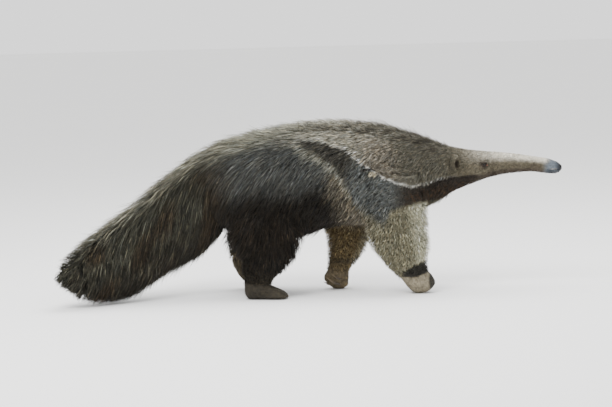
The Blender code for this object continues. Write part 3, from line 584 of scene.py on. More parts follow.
@dataclass
class HeadDetail:
    """What the skin of the head adds to the sections: lids, brow, mouth, lips, nostrils, ears and folds.

    A join is the reach over which a form and its neighbour are rounded together. The pouch is the low fold
    under the eye.
    """

    eye: Point = (0.6265, 0.0345, 0.4505)
    eye_radius: float = 0.0085
    lid: float = 0.0021
    lid_join: float = 0.005
    opening: Point = (0.0102, 0.0062, 0.0050)
    opening_join: float = 0.0012
    opening_shift: float = 0.0006
    opening_slope: float = -0.06
    corner_taper: float = 0.45
    corner_least: float = 0.3
    socket_gap: float = 0.0003
    brow: Point = (0.0150, 0.0050, 0.0035)
    brow_shift: Point = (-0.003, 0.0035, 0.0105)
    brow_join: float = 0.006
    pouch_depth: float = 0.0011
    pouch_drop: float = 0.0125
    pouch_slope: float = 0.05
    pouch_shift: float = -0.001
    pouch_size: Pair = (0.012, 0.0016)
    pouch_inner: float = 0.02
    mouth_corner: float = 0.857
    mouth_height: float = 0.4235
    mouth_fade: float = 0.006
    mouth_droop: float = 0.0015
    droop_end: float = 0.890
    groove_depth: float = 0.0016
    groove_width: float = 0.0008
    lip: float = 0.0009
    lip_shift: float = 0.0024
    lip_width: float = 0.0014
    nostril: Point = (0.9010, 0.0085, 0.4360)
    nostril_radii: Point = (0.0048, 0.0036, 0.0030)
    nostril_join: float = 0.0010
    ear: Point = (0.523, 0.050, 0.459)
    ear_half: Point = (0.0145, 0.0215, 0.029)
    ear_hollow: Point = (0.0130, 0.0175, 0.0225)
    ear_shift: Point = (0.0062, 0.0085, 0.0010)
    ear_tilt: float = math.radians(-14)
    ear_join: float = 0.0050
    ear_edge: float = 0.0016
    fold_x: tuple[float, ...] = (0.462, 0.486, 0.508)
    fold_depth: float = 0.0014
    fold_width: float = 0.0050
    fold_z: Pair = (0.450, 0.400)
    fold_lean: float = 0.35
    fold_level: float = 0.42
    fold_sway: float = 0.004
    fold_waves: float = 90.0
    cheek: Point = (0.600, 0.030, 0.428)
    cheek_radii: Point = (0.040, 0.0165, 0.021)
    cheek_join: float = 0.02
    start: float = 0.44

    def shape(self, distance: Array, points: Array) -> Array:
        """The distance outside the skin once the details are added to it and cut from it."""
        whole = mirrored(points)
        distance = self.mouth(self.lids(distance, whole), whole)
        hole = ellipsoid(whole, self.nostril, self.nostril_radii)
        distance = soft_max(distance, -hole, self.nostril_join)
        return self.ears(self.folds(distance, whole), whole)

    def lids(self, distance: Array, points: Array) -> Array:
        """A brow and a ball soft-joined round each eye, less an almond and the ball of the eye itself.

        In this method and the next ones, points come with their y turned to the left side.
        """
        x, z = points[..., 0], points[..., 2]
        ex, ey, ez = self.eye
        brow = ellipsoid(points, tuple(np.add(self.eye, self.brow_shift)), self.brow)
        distance = soft_min(distance, brow, self.brow_join)
        ball = ellipsoid(points, self.eye, (self.eye_radius + self.lid,) * 3)
        distance = soft_min(distance, ball, self.lid_join)
        below = ez - self.pouch_drop + self.pouch_slope * (x - ex)
        length, height = self.pouch_size
        pouch = self.pouch_depth * bell(z, below, height) * bell(x, ex + self.pouch_shift, length)
        distance = distance + pouch * (points[..., 1] > self.pouch_inner)
        front = (ex + self.opening_shift, ey + self.eye_radius, ez + self.opening_slope * (x - ex))
        distance = soft_max(distance, -self.almond(points, front), self.opening_join)
        socket = ellipsoid(points, self.eye, (self.eye_radius + self.socket_gap,) * 3)
        return np.maximum(distance, -socket)

    def mouth(self, distance: Array, points: Array) -> Array:
        """A groove, a hump of the distance by height, between two rolls."""
        x, z = points[..., 0], points[..., 2]
        on = fade(x, self.mouth_corner - self.mouth_fade, self.mouth_corner + self.mouth_fade)
        line = self.mouth_height - self.mouth_droop * fade(x, self.droop_end, self.mouth_corner)
        distance = distance + on * self.groove_depth * bell(z, line, self.groove_width)
        upper, lower = (bell(z, line + shift, self.lip_width) for shift in (self.lip_shift, -self.lip_shift))
        return distance - on * self.lip * (upper + lower)

    def ears(self, distance: Array, points: Array) -> Array:
        """Small cups that open forwards and outwards: an ellipsoid less a smaller one set further out."""
        lean = np.array(Matrix.Rotation(self.ear_tilt, 3, "X"))
        offset = (points - np.array(self.ear)) @ lean
        outer = ellipsoid(offset, (0.0, 0.0, 0.0), self.ear_half)
        inner = ellipsoid(offset, self.ear_shift, self.ear_hollow)
        distance = soft_min(distance, outer, self.ear_join)
        return soft_max(distance, -inner, self.ear_edge)

    def almond(self, points: Array, front: tuple) -> Array:
        """An ellipsoid whose height narrows towards both corners of the eye."""
        offset = points - np.stack(np.broadcast_arrays(*front), axis=-1)
        width, depth, height = self.opening
        taper = self.corner_taper * np.abs(offset[..., 0]) / width
        narrow = np.maximum(1.0 - taper, self.corner_least)
        scaled = offset / np.stack(np.broadcast_arrays(width, depth, height * narrow), axis=-1)
        return (np.linalg.norm(scaled, axis=-1) - 1.0) * height

    def folds(self, distance: Array, points: Array) -> Array:
        """Shallow folds at the throat and behind the ear, and the swell of the cheek."""
        x, z = points[..., 0], points[..., 2]
        swing = x + self.fold_lean * (z - self.fold_level) + self.fold_sway * np.sin(z * self.fold_waves)
        low = fade(z, *self.fold_z)
        for place in self.fold_x:
            distance = distance + self.fold_depth * low * bell(swing, place, self.fold_width)
        return soft_min(distance, ellipsoid(points, self.cheek, self.cheek_radii), self.cheek_join)


# Low swells of the body: depth inwards, lean, middle x and its width, and middle z and its width. They are
# the crease between shoulder and neck, the shoulder blade and the elbow.
SWELLS = (
    (0.0060, 0.75, 0.300, 0.012, 0.405, 0.022),
    (-0.0035, 0.0, 0.255, 0.050, 0.420, 0.070),
    (-0.0030, 0.0, 0.250, 0.030, 0.250, 0.030),
)
SWELL_LEVEL = 0.40
SWELL_SIDE = (0.03, 0.06)


@dataclass
class Body:
    """All the forms of the body and the one skin over them."""

    head: HeadDetail = field(default_factory=HeadDetail)
    hip_reach: float = 0.035
    ankle_reach: float = 0.016
    tail_reach: float = 0.050
    toe_reach: float = 0.004
    toe_back: float = 0.9
    toe_shape: Point = (1.5, 1.0, 0.95)
    steepness: Pair = (0.5, 2.0)

    def __post_init__(self) -> None:
        """Makes the forms."""
        self.trunk = trunk_form()
        self.tail = tail_form()
        self.limbs = {name: limb_form(name) for name in LIMBS}
        self.feet = {name: foot_form(name) for name in FEET}
        self.forms: dict[str, Form] = {"trunk": self.trunk, "tail": self.tail, **self.limbs, **self.feet}

    def skin(self, points: Array) -> Array:
        """About how far points lie outside the skin.

        The distances to the forms are joined by soft minima, the head's details are added, and muscles and
        knuckles are soft-joined ellipsoids. Nothing reaches below the floor.
        """
        distance = soft_min(self.trunk.near(points), self.tail.near(points), self.tail_reach)
        for name, limb in self.limbs.items():
            foot = self.feet[name.replace("leg", "foot")]
            leg = soft_min(limb.near(points), foot.near(points), self.ankle_reach)
            leg = self.toes(leg, foot, points)
            distance = soft_min(distance, leg, self.hip_reach)
        ahead = points[..., 0] > self.head.start
        distance[ahead] = self.head.shape(distance[ahead], points[ahead])
        distance = self.muscles(distance, points)
        return np.maximum(distance, FLOOR_GAP - points[..., 2])

    def toes(self, distance: Array, foot: Form, points: Array) -> Array:
        """Toes: a short ellipsoid behind each claw's root."""
        near = np.all((points > foot.low) & (points < foot.high), axis=-1)
        some = points[near]
        made = distance[near]
        for place, ahead, radius in toe_places(foot.name):
            middle = tuple(place - ahead * radius * self.toe_back)
            radii = tuple(radius * share for share in self.toe_shape)
            made = soft_min(made, ellipsoid(some, middle, radii), self.toe_reach)
        distance[near] = made
        return distance

    def muscles(self, distance: Array, points: Array) -> Array:
        """The low swells and the crease, each a hump by x times a hump by z, on both flanks."""
        x, z = points[..., 0], points[..., 2]
        made = 0.0
        for depth, lean, middle_x, width_x, middle_z, width_z in SWELLS:
            across = bell(x + lean * (z - SWELL_LEVEL), middle_x, width_x)
            made = made + depth * across * bell(z, middle_z, width_z)
        return distance + made * fade(np.abs(points[..., 1]), *SWELL_SIDE)

    def climb(self, points: Array, step: float = 0.0004) -> Array:
        """How the distance grows along each axis, by differences."""
        made = []
        for axis in range(3):
            shift = np.zeros(3)
            shift[axis] = step
            made.append(self.skin(points + shift) - self.skin(points - shift))
        return np.stack(made, axis=-1) / (2 * step)

    def slope(self, points: Array) -> Array:
        """The way straight out of the skin."""
        return unit(self.climb(points))

    def lifted(self, points: Array, height: Array, give: Array, most: float = 0.050) -> tuple[Array, Array]:
        """Points moved straight out or in to a height over the skin, and the way out there.

        The move is the missing height over how fast the distance grows. It goes in by no more than give, so
        that long hair hangs free past the edge of the flesh.
        """
        climb = self.climb(points)
        missing = np.clip(height - self.skin(points), -give, most)
        steep = np.clip(np.sum(climb**2, axis=-1), *self.steepness)
        return points + climb * (missing / steep)[..., None], unit(climb)

    def settle(self, points: Array, rounds: int = 3, most: float = 0.0015) -> Array:
        """Moves points onto the skin: each round goes back by the distance along the slope."""
        for _ in range(rounds):
            off = np.clip(self.skin(points), -most, most)
            points = points - self.slope(points) * off[..., None]
        return points


FORE_CLAWS = (
    Claw((0.020, 0.028, 0.054), (-0.76, 0.62, 0.10), (-0.3, -0.2, 0.9), 0.030, 0.0034, 0.7),
    Claw((0.022, 0.030, 0.039), (-0.82, 0.56, 0.06), (-0.3, -0.3, 0.9), 0.054, 0.0048, 0.9),
    Claw((0.016, 0.030, 0.022), (-0.84, 0.54, 0.04), (-0.3, -0.3, 0.9), 0.068, 0.0060, 0.9),
    Claw((-0.030, 0.026, 0.024), (-0.70, 0.70, 0.10), (-0.3, -0.2, 0.9), 0.026, 0.0032, 0.6),
)
HIND_CLAWS = (
    Claw((-0.006, 0.030, 0.014), (0.96, 0.14, -0.08), (0.0, 0.0, -1.0), 0.020, 0.0030, 0.5),
    Claw((0.000, 0.016, 0.014), (0.98, 0.08, -0.06), (0.0, 0.0, -1.0), 0.023, 0.0032, 0.5),
    Claw((0.002, 0.001, 0.014), (1.00, 0.00, -0.06), (0.0, 0.0, -1.0), 0.024, 0.0033, 0.5),
    Claw((0.000, -0.014, 0.014), (0.98, -0.08, -0.06), (0.0, 0.0, -1.0), 0.023, 0.0032, 0.5),
    Claw((-0.007, -0.028, 0.014), (0.96, -0.14, -0.08), (0.0, 0.0, -1.0), 0.020, 0.0030, 0.5),
)
CLAW_SETS = {
    "forefoot_right": (FORE_CLAWS, (0.384, -0.077)),
    "forefoot_left": (FORE_CLAWS, (0.088, 0.077)),
    "hindfoot_right": (HIND_CLAWS, (-0.103, -0.131)),
    "hindfoot_left": (HIND_CLAWS, (-0.169, 0.131)),
}
TOE_GROWTH = 2.1


def claw_place(foot: str, claw: Claw) -> tuple[Array, Array, Array]:
    """Where a claw leaves its foot, the way it points there and the way it curls.

    Args:
        foot: The foot's name.
        claw: The claw, given for a right foot.

    Returns:
        The root, the direction and the curl square to it.
    """
    side = np.array([1.0, -1.0 if foot.endswith("left") else 1.0, 1.0])
    x, y = CLAW_SETS[foot][1]
    root = np.array([x, y, 0.0]) + np.array(claw.root) * side
    ahead = unit(np.array(claw.ahead) * side)
    curl = np.array(claw.curl) * side
    return root, ahead, unit(curl - ahead * (curl @ ahead))


def toe_places(foot: str) -> list[tuple[Array, Array, float]]:
    """The root, direction and radius of each toe of a foot."""
    claws, _ = CLAW_SETS[foot]
    return [(*claw_place(foot, claw)[:2], claw.radius * TOE_GROWTH) for claw in claws]


@dataclass(frozen=True)
class Palette:
    """The coat's colours, as display colours."""

    back: tuple = (145, 142, 128)
    back_low: tuple = (116, 110, 98)
    crest: tuple = (64, 60, 52)
    neck: tuple = (90, 87, 76)
    head: tuple = (90, 84, 69)
    snout: tuple = (85, 79, 64)
    # Painted highlight: the pale cream top of the snout, where the light falls on it.
    snout_painted_highlight: tuple = (212, 206, 190)
    snout_under: tuple = (62, 53, 44)
    nose: tuple = (38, 42, 48)
    rump_top: tuple = (124, 123, 109)
    rump: tuple = (71, 72, 69)
    low_rump: tuple = (22, 18, 12)
    tail_top: tuple = (112, 110, 97)
    tail: tuple = (58, 57, 48)
    low_tail: tuple = (45, 42, 34)
    tail_brown: tuple = (50, 40, 27)
    band: tuple = (60, 58, 52)
    # Painted sheen: a lighter blue-grey on the dark band where the shoulder catches the light.
    shoulder: tuple = (84, 86, 83)
    throat: tuple = (46, 41, 35)
    throat_fleck: tuple = (84, 62, 40)
    stripe: tuple = (222, 221, 212)
    border: tuple = (134, 133, 120)
    streaks: tuple = (98, 92, 79)
    foreleg: tuple = (118, 114, 94)
    foreleg_front: tuple = (186, 184, 160)
    # Painted shade: the far foreleg's pale coat darkened and browned.
    foreleg_far_shaded: tuple = (98, 85, 60)
    wrist: tuple = (22, 21, 19)
    forefoot: tuple = (120, 112, 94)
    hindleg: tuple = (23, 19, 13)
    hindfoot: tuple = (52, 47, 37)
    belly: tuple = (30, 25, 19)
    # Painted shade, laid round the eye, in the ear's cup, in lines over and under the eye, under the jaw and
    # along the fold on the shoulder.
    painted_shade: tuple = (42, 34, 28)
    # Painted reflection: the blue-grey of the light on the upper side of the wet black nose.
    nose_painted_reflection: tuple = (92, 99, 106)
    far_heel: tuple = (72, 64, 49)
    # Painted shade: the far forefoot darker and browner than the near one.
    far_foot_shaded: tuple = (84, 74, 56)
    bare_spot: tuple = (178, 168, 142)
    # Painted highlight: the pale line along the upper lip by the nose.
    lip: tuple = (158, 148, 136)
    eye_corner: tuple = (150, 104, 88)


@dataclass(frozen=True)
class Wash:
    """One colour laid over the colours before it.

    A ramp names a measure of the place, the value at which the colour starts and the one at which it is full.
    A hump names a measure, the value at which the colour is fullest, and a width. The measures named in times
    multiply the share as they are. The wash's own colour may have further washes over it.
    """

    colour: str
    ramps: tuple[tuple[str, float, float], ...] = ()
    humps: tuple[tuple[str, float, float], ...] = ()
    times: tuple[str, ...] = ()
    strength: float = 1.0
    shade: float = 1.0
    most: float = 1.0
    over: tuple["Wash", ...] = ()

    def share(self, measures: dict[str, Array]) -> Array:
        """How much of the colours below it the wash hides at each place."""
        parts = [fade(measures[name], start, end) for name, start, end in self.ramps]
        parts += [bell(measures[name], middle, width) for name, middle, width in self.humps]
        parts += [measures[name] for name in self.times]
        return np.clip(self.strength * math.prod(parts), 0.0, self.most)


def most(washes: tuple[Wash, ...], measures: dict[str, Array]) -> Array:
    """The greatest share of two washes at each place."""
    return np.maximum(*(wash.share(measures) for wash in washes))


BEHIND = (
    Wash("rump", (("under_border", -0.012, 0.012), ("x", 0.20, 0.15))),
    Wash("rump", (("x", 0.07, -0.16),)),
)
NOSE_DARK = (Wash("nose", (("up", 0.42, 0.10), ("x", 0.844, 0.862))), Wash("nose", (("x", 0.876, 0.897),)))
RUMP = (
    Wash("low_rump", (("rump_height", 0.445, 0.335),)),
    Wash("rump_top", (("under_top", 0.075, 0.015),)),
)
TAIL_HAIR = (
    Wash("tail", (("tail_up", 0.15, 0.55),)),
    Wash("tail_top", (("tail_up", 0.78, 1.0),)),
    Wash("tail_brown", (("brown", 0.0, 0.7), ("tail_up", 0.95, 0.7)), strength=0.7),
)
BAND = (
    # Painted sheen on the dark band at the shoulder.
    Wash("shoulder", (("shoulder_front", 0.11, 0.19), ("x", 0.38, 0.28))),
    Wash("throat", (("x", 0.28, 0.37),)),
    Wash(
        "throat_fleck",
        (("fleck", 0.0, 0.8), ("x", 0.28, 0.38), ("over_stripe", -0.01, -0.04)),
        strength=0.7,
    ),
)
LEG_FRONT = (("z", 0.36, 0.30), ("z", 0.09, 0.12))
BODY_WASHES = (
    Wash("back_low", (("x", 0.12, 0.24), ("under_top", 0.03, 0.07))),
    Wash("neck", (("x", 0.26, 0.36), ("under_top", 0.02, 0.06))),
    Wash("neck", (("x", 0.26, 0.40),), strength=0.6),
    Wash("head", (("x", 0.44, 0.56),)),
    Wash("crest", (("x", -0.10, 0.02), ("x", 0.53, 0.44)), times=("crest",), most=0.95),
    Wash("rump", times=("behind",), over=RUMP),
    Wash("low_tail", (("x", -0.22, -0.40),), over=TAIL_HAIR),
    Wash("belly", (("over_bottom", 0.080, 0.030), ("x", 0.32, 0.20), ("x", -0.35, -0.2))),
)
LIMB_WASHES = (
    Wash("foreleg", (("z", 0.400, 0.330),), times=("on_foreleg_right",)),
    Wash("foreleg_front", (("ahead_foreleg_right", 0.25, 0.85), *LEG_FRONT), (), ("on_foreleg_right",), 0.8),
    Wash("forefoot", (("off_forefoot_right", 0.012, 0.005), ("z", 0.095, 0.070)), times=("right",)),
    # Painted shade on the far foreleg: a darker, browner coat, with its pale front laid weaker than on the
    # near leg.
    Wash("foreleg_far_shaded", (("z", 0.400, 0.330),), times=("on_foreleg_left",)),
    Wash("foreleg_front", (("ahead_foreleg_left", 0.25, 0.85), *LEG_FRONT), (), ("on_foreleg_left",), 0.25),
    Wash("hindleg", (("z", 0.340, 0.250),), times=("on_hindleg_right",)),
    Wash("hindleg", (("z", 0.340, 0.250),), times=("on_hindleg_left",)),
    Wash("wrist", (("off_wrist", 0.002, -0.002), ("x", 0.312, 0.334)), times=("right",), strength=0.94),
    Wash("wrist", (("toe_patch", 0.004, -0.004),), times=("right",), strength=0.9),
    Wash("wrist", (("x", 0.03, 0.06), ("x", 0.20, 0.17)), (("z", 0.105, 0.014),), ("left",), 0.6),
    Wash("hindfoot", (("off_hindfoot_right", 0.09, 0.010), ("z", 0.150, 0.040)), times=("hind_ahead",)),
    Wash("hindfoot", (("off_hindfoot_left", 0.09, 0.010), ("z", 0.165, 0.125)), times=("hind_ahead",)),
    Wash("far_heel", (("x", -0.205, -0.232), ("z", 0.162, 0.134), ("x", -0.40, -0.33)), times=("left",)),
    # Painted shade on the far forefoot.
    Wash("far_foot_shaded", (("off_forefoot_left", 0.012, 0.004), ("z", 0.105, 0.080))),
    Wash("wrist", (("foot_blotch", 0.1, 0.9), ("z", 0.095, 0.070)), strength=0.42),
)
# The dark band between the pale lines, which widens to the shoulder and the throat, and what lies along it.
BAND_WASHES = (
    Wash(
        "streaks",
        (("streak_front", 0.045, 0.130), ("past_edge", 0.025, -0.005), ("z", 0.47, 0.42), ("z", 0.20, 0.25)),
        strength=0.85,
    ),
    Wash(
        "band",
        (("over_stripe", 0.003, -0.004), ("over_lower", -1.0, 1.0), ("x", -0.055, -0.010), ("x", 0.66, 0.57)),
        over=BAND,
    ),
    Wash(
        "stripe",
        (("x", -0.055, -0.010), ("x", 0.62, 0.48)),
        (("over_stripe", 0.0, 0.0026),),
        ("stripe_strength",),
        1.2,
    ),
    # Painted shade in a line under the jaw, where the cheek swells over it, and in a line along the fold on
    # the shoulder.
    Wash("painted_shade", (("x", 0.42, 0.47), ("x", 0.66, 0.60)), (("over_stripe", -0.007, 0.005),), (), 0.7, 0.6),
    Wash("painted_shade", (("x", 0.180, 0.190), ("x", 0.256, 0.246)), (("over_fold", 0.0, 0.0040),), (), 0.95, 0.5),
    Wash("bare_spot", (("bare_spot", 0.001, -0.003),), strength=0.92),
    Wash("border", (("x", -0.055, -0.010), ("x", 0.17, 0.12)), (("under_border", 0.010, 0.016),), (), 0.62),
)
HEAD_WASHES = (
    Wash("snout", (("x", 0.64, 0.74), ("up", 0.10, 0.30))),
    # Painted highlight along the top of the snout.
    Wash("snout_painted_highlight", (("x", 0.50, 0.72), ("up", 0.50, 0.92)), strength=0.9),
    Wash("snout_under", (("x", 0.56, 0.66), ("up", 0.34, 0.12))),
    Wash(
        "snout_under",
        (("snout_blotch", 0.0, 0.9), ("x", 0.54, 0.62), ("x", 0.85, 0.82), ("up", 0.95, 0.6)),
        strength=0.34,
    ),
    Wash("snout_under", (("muzzle", 0.006, -0.008),), strength=0.45),
    # Painted reflection on the upper side of the nose.
    Wash("nose_painted_reflection", (("nose_front", 0.832, 0.862),)),
    Wash("nose", times=("nose_dark",), strength=0.92),
    Wash("nose", (("x", 0.893, 0.903),), shade=0.2),
    # Painted highlight along the upper lip.
    Wash("lip", (("x", 0.858, 0.868), ("x", 0.892, 0.884)), (("over_mouth", 0.0030, 0.0011),), (), 0.6),
    # Painted shade: the nostril's hole laid nearly black.
    Wash("nose", (("nostril", 0.0006, -0.0006),), shade=0.04),
    # Painted shade round the eye, in the ear's cup and in lines over and under the eye.
    Wash("painted_shade", times=("eye_rim",)),
    Wash("painted_shade", (("ear_cup", 0.001, -0.004),), strength=0.8),
    Wash("painted_shade", times=("eye_lines",)),
    Wash("eye_corner", (("eye_corner", 0.0010, -0.0006),), strength=0.8),
)
# Numbers that change along the body, as rows of x and of the number: heights of the pale stripe, of the back
# edge of the band, of its lower edge and of the armpit's fold, along which shade is painted, how soft the
# lower edge is, and how strong the stripe is.
CURVES = {
    "stripe": (
        (-0.029, 0.042, 0.132, 0.184, 0.227, 0.273, 0.362, 0.416, 0.489, 0.579),
        (0.562, 0.553, 0.525, 0.477, 0.443, 0.413, 0.385, 0.394, 0.411, 0.416),
    ),
    "border": ((-0.048, 0.041, 0.094, 0.139, 0.162, 0.200), (0.542, 0.500, 0.455, 0.381, 0.326, 0.260)),
    "lower": (
        (0.162, 0.200, 0.240, 0.268, 0.285, 0.330, 0.410),
        (0.326, 0.290, 0.262, 0.262, 0.305, 0.318, 0.330),
    ),
    "fold": ((0.187, 0.203, 0.220, 0.236, 0.248), (0.4445, 0.4500, 0.4505, 0.4400, 0.4250)),
    "soft": ((0.16, 0.20, 0.27, 0.30), (0.010, 0.030, 0.026, 0.007)),
    "strength": ((0.0, 0.12, 0.20, 0.32, 0.38, 0.45, 0.55), (0.20, 0.55, 1.0, 0.95, 0.8, 0.35, 0.0)),
    "grizzle": ((-0.9, -0.35, -0.10, 0.10, 0.40, 0.55, 0.70), (1.4, 1.2, 1.0, 1.1, 0.9, 0.7, 0.5)),
}
# Random fields: the value they swing about, how far they swing, the size of their swells and their seed.
WAVES = {
    "stripe": (0.0, 0.0025, 0.05, 3),
    "border": (0.0, 0.005, 0.06, 4),
    "brown": (0.0, 1.0, 0.16, 5),
    "fleck": (0.0, 1.0, 0.014, 6),
    "rump": (0.0, 0.012, 0.12, 8),
    "streaks": (0.0, 0.012, 0.03, 9),
    "foot_blotch": (0.0, 1.0, 0.018, 13),
    "snout_blotch": (0.0, 1.0, 0.020, 14),
    "stripe_break": (0.78, 0.30, 0.022, 15),
    "crest_break": (0.70, 0.28, 0.032, 16),
}
# Ellipsoids that markings and painted shade are drawn by, on both sides: middle and radii; the nostril and the
# ear's cup get painted shade.
SPOTS = {
    "muzzle": ((0.812, 0.0, 0.440), (0.026, 0.060, 0.014)),
    "toe_patch": ((0.438, 0.078, 0.043), (0.024, 0.080, 0.037)),
    "nostril": ((0.9010, 0.0085, 0.4360), (0.0066, 0.0048, 0.0042)),
    "ear_cup": ((0.527, 0.056, 0.459), (0.010, 0.014, 0.019)),
}
# Ellipsoids by the eye, their middles measured from the eye's.
EYE_SPOTS = {
    # Bounds the painted shade round the eye.
    "eye_edge": ((0.0, 0.006, 0.0), (0.0120, 0.012, 0.0078)),
    "eye_corner": ((0.0105, 0.006, -0.001), (0.0024, 0.01, 0.0018)),
}
# Lines of painted shade over and under the eye: strength, slope, and from the eye's middle how high and how
# far ahead the line is fullest, each with a width.
EYE_LINES = (
    (0.75, 0.22, (0.0125, 0.0032), (-0.004, 0.018)),
    (0.6, 0.05, (-0.0130, 0.0022), (-0.002, 0.012)),
)


@dataclass
class Markings:
    """The colour of skin and coat by place alone, the same on both sides but for the two forelegs.

    A lean is how much a marking's edge moves along x for each metre of height over or under its level.
    """

    body: Body
    palette: Palette = field(default_factory=Palette)
    streak_lean: float = 0.30
    streak_level: float = 0.35
    shoulder_lean: float = 0.35
    shoulder_level: float = 0.45
    crest_line: Pair = (0.028, 0.012)
    crest_depth: Pair = (0.060, 0.034)
    crest_x: Pair = (0.06, 0.22)
    bare_spot: tuple = ((0.2255, 0.0, 0.4320), (0.015, 1.0, 0.0090))
    wrist: Pair = (0.334, 0.0737)
    wrist_slope: float = 0.3125
    wrist_half: float = 0.0100
    wrist_growth: float = 0.0130
    wrist_x: Pair = (0.322, 0.372)
    nose_lean: float = 0.012
    nose_up: Pair = (0.55, 1.0)
    # Where the painted shade round the eye starts and is full, and how far from the middle the painted lines
    # by the eye begin.
    rim_edges: tuple[Pair, Pair] = ((0.0120, 0.002), (0.0030, -0.001))
    lines_inner: float = 0.012
    limb_reach: Pair = (0.045, 0.015)
    foot_reach: Pair = (0.03, 0.01)
    toe_share: float = 0.6
    toe_x: Pair = (-0.20, -0.12)
    hind_grizzle: Point = (0.25, 0.05, 1.05)
    fore_grizzle: Point = (0.32, 0.10, 1.25)

    def colour(self, name: str) -> Array:
        """A palette colour as linear light."""
        return srgb(*getattr(self.palette, name))

    def lay(self, made: Array, washes: tuple[Wash, ...], measures: dict[str, Array]) -> Array:
        """The colours with the washes laid over them in order."""
        for wash in washes:
            colour = wash.shade * self.colour(wash.colour)
            if wash.over:
                colour = self.lay(np.broadcast_to(colour, made.shape), wash.over, measures)
            made = blend(made, colour, wash.share(measures))
        return made

    def paint(self, points: Array) -> Array:
        """The colour at each place: every marking is laid over the ones before by a smooth mask."""
        ground = np.broadcast_to(self.colour("back"), points.shape)
        # Besides the markings, the washes lay painted shade, a painted sheen, painted highlights and a painted
        # reflection.
        washes = (*BODY_WASHES, *LIMB_WASHES, *BAND_WASHES, *HEAD_WASHES)
        return self.lay(ground, washes, self.measures(points))

    def measures(self, points: Array) -> dict[str, Array]:
        """What the washes read at each place: heights over the body's lines, random fields and nearness."""
        x, y, z = points[..., 0], points[..., 1], points[..., 2]
        wave = {name: mean + swing * ripple(points, *row) for name, (mean, swing, *row) in WAVES.items()}
        line = {name: np.interp(x, *curve) for name, curve in CURVES.items()}
        trunk, tail = self.body.trunk.outline, self.body.tail.outline
        top, bottom = (np.interp(x, trunk[:, 0], trunk[:, i]) for i in (1, 2))
        crown, under = (np.interp(x, tail[:, 0], tail[:, i]) for i in (1, 2))
        stripe, border = line["stripe"] + wave["stripe"], line["border"] + wave["border"]
        edge_x, edge_z = CURVES["border"]
        lower = np.where(x < CURVES["lower"][0][0], border, line["lower"])
        deep = top - z
        along, above = bell(deep, *self.crest_line), fade(deep, *self.crest_depth)
        crest = blend_values(along, above, fade(x, *self.crest_x))
        rise = z - self.wrist[1] - self.wrist_slope * (x - self.wrist[0])
        made = {
            "x": x,
            "z": z,
            "right": y < 0,
            "left": y > 0,
            "under_top": deep,
            "over_bottom": z - bottom,
            "tail_up": np.clip((z - under) / (crown - under), 0, 1),
            "over_stripe": z - stripe,
            "under_border": border - z,
            "past_edge": x - np.interp(z, edge_z[::-1], edge_x[::-1]),
            "streak_front": x + self.streak_lean * (z - self.streak_level) + wave["streaks"],
            "shoulder_front": x + self.shoulder_lean * (self.shoulder_level - z),
            "over_lower": (z - lower) / line["soft"],
            "over_fold": z - line["fold"],
            "rump_height": z + wave["rump"],
            "crest": crest * wave["crest_break"],
            "stripe_strength": wave["stripe_break"] * line["strength"],
            "bare_spot": ellipsoid(points * (1, 0, 1), *self.bare_spot),
            "off_wrist": np.abs(rise) - self.wrist_half - self.wrist_growth * fade(x, *self.wrist_x),
            "hind_ahead": blend_values(self.toe_share, 1.0, fade(x, *self.toe_x)),
        }
        made |= {name: wave[name] for name in ("brown", "fleck", "foot_blotch", "snout_blotch")}
        made["behind"] = most(BEHIND, made)
        return made | self.limb_measures(points) | self.head_measures(points, top, bottom)

    def limb_measures(self, points: Array) -> dict[str, Array]:
        """How near each limb and foot is, and how far ahead on a foreleg a place lies."""
        made = {}
        for name, limb in self.body.limbs.items():
            foot = name.replace("leg", "foot")
            off_foot = self.body.feet[foot].near(points)
            made[f"off_{foot}"] = off_foot
            on_limb, on_foot = fade(limb.near(points), *self.limb_reach), fade(off_foot, *self.foot_reach)
            made[f"on_{name}"] = np.maximum(on_limb, on_foot)
            if name.startswith("fore"):
                made[f"ahead_{name}"] = np.cos(limb.turn_of(points)[1])
        return made

    def head_measures(self, points: Array, top: Array, bottom: Array) -> dict[str, Array]:
        """Where a place lies on the snout, and how near it is to eye, ear, nostril and mouth."""
        x, z = points[..., 0], points[..., 2]
        whole, head = mirrored(points), self.body.head
        up = np.clip((z - bottom) / np.maximum(top - bottom, LEAST_HEIGHT), 0, 1)
        made = {name: ellipsoid(whole, *spot) for name, spot in SPOTS.items()}
        for name, (shift, radii) in EYE_SPOTS.items():
            made[name] = ellipsoid(whole, tuple(np.add(head.eye, shift)), radii)
        over_eye, past_eye = z - head.eye[2], x - head.eye[0]
        lines_by_eye = sum(
            strength * bell(over_eye - slope * past_eye, *height) * bell(past_eye, *length)
            for strength, slope, height, length in EYE_LINES
        )
        return made | {
            "up": up,
            "over_mouth": z - head.mouth_height,
            "nose_front": x - self.nose_lean * fade(up, *self.nose_up),
            "nose_dark": most(NOSE_DARK, {"x": x, "up": up}),
            # How much painted shade lies round the eye and in the lines over and under it.
            "eye_rim": sum(0.5 * fade(made["eye_edge"], *edge) for edge in self.rim_edges),
            "eye_lines": np.clip(lines_by_eye, 0, 1) * (whole[..., 1] > self.lines_inner),
        }

    def grizzle(self, points: Array) -> Array:
        """How unlike each other neighbouring tufts are: more so under a height, behind or ahead of an x."""
        x, z = points[..., 0], points[..., 2]
        low, front, hind_share = self.hind_grizzle
        made = np.interp(x, *CURVES["grizzle"]) * np.where((z < low) & (x < front), hind_share, 1.0)
        low, back, fore_share = self.fore_grizzle
        return made * np.where((z < low) & (x > back), fore_share, 1.0)


# Most of a noise lies between these.
NOISE_RANGE = (0.25, 0.75)


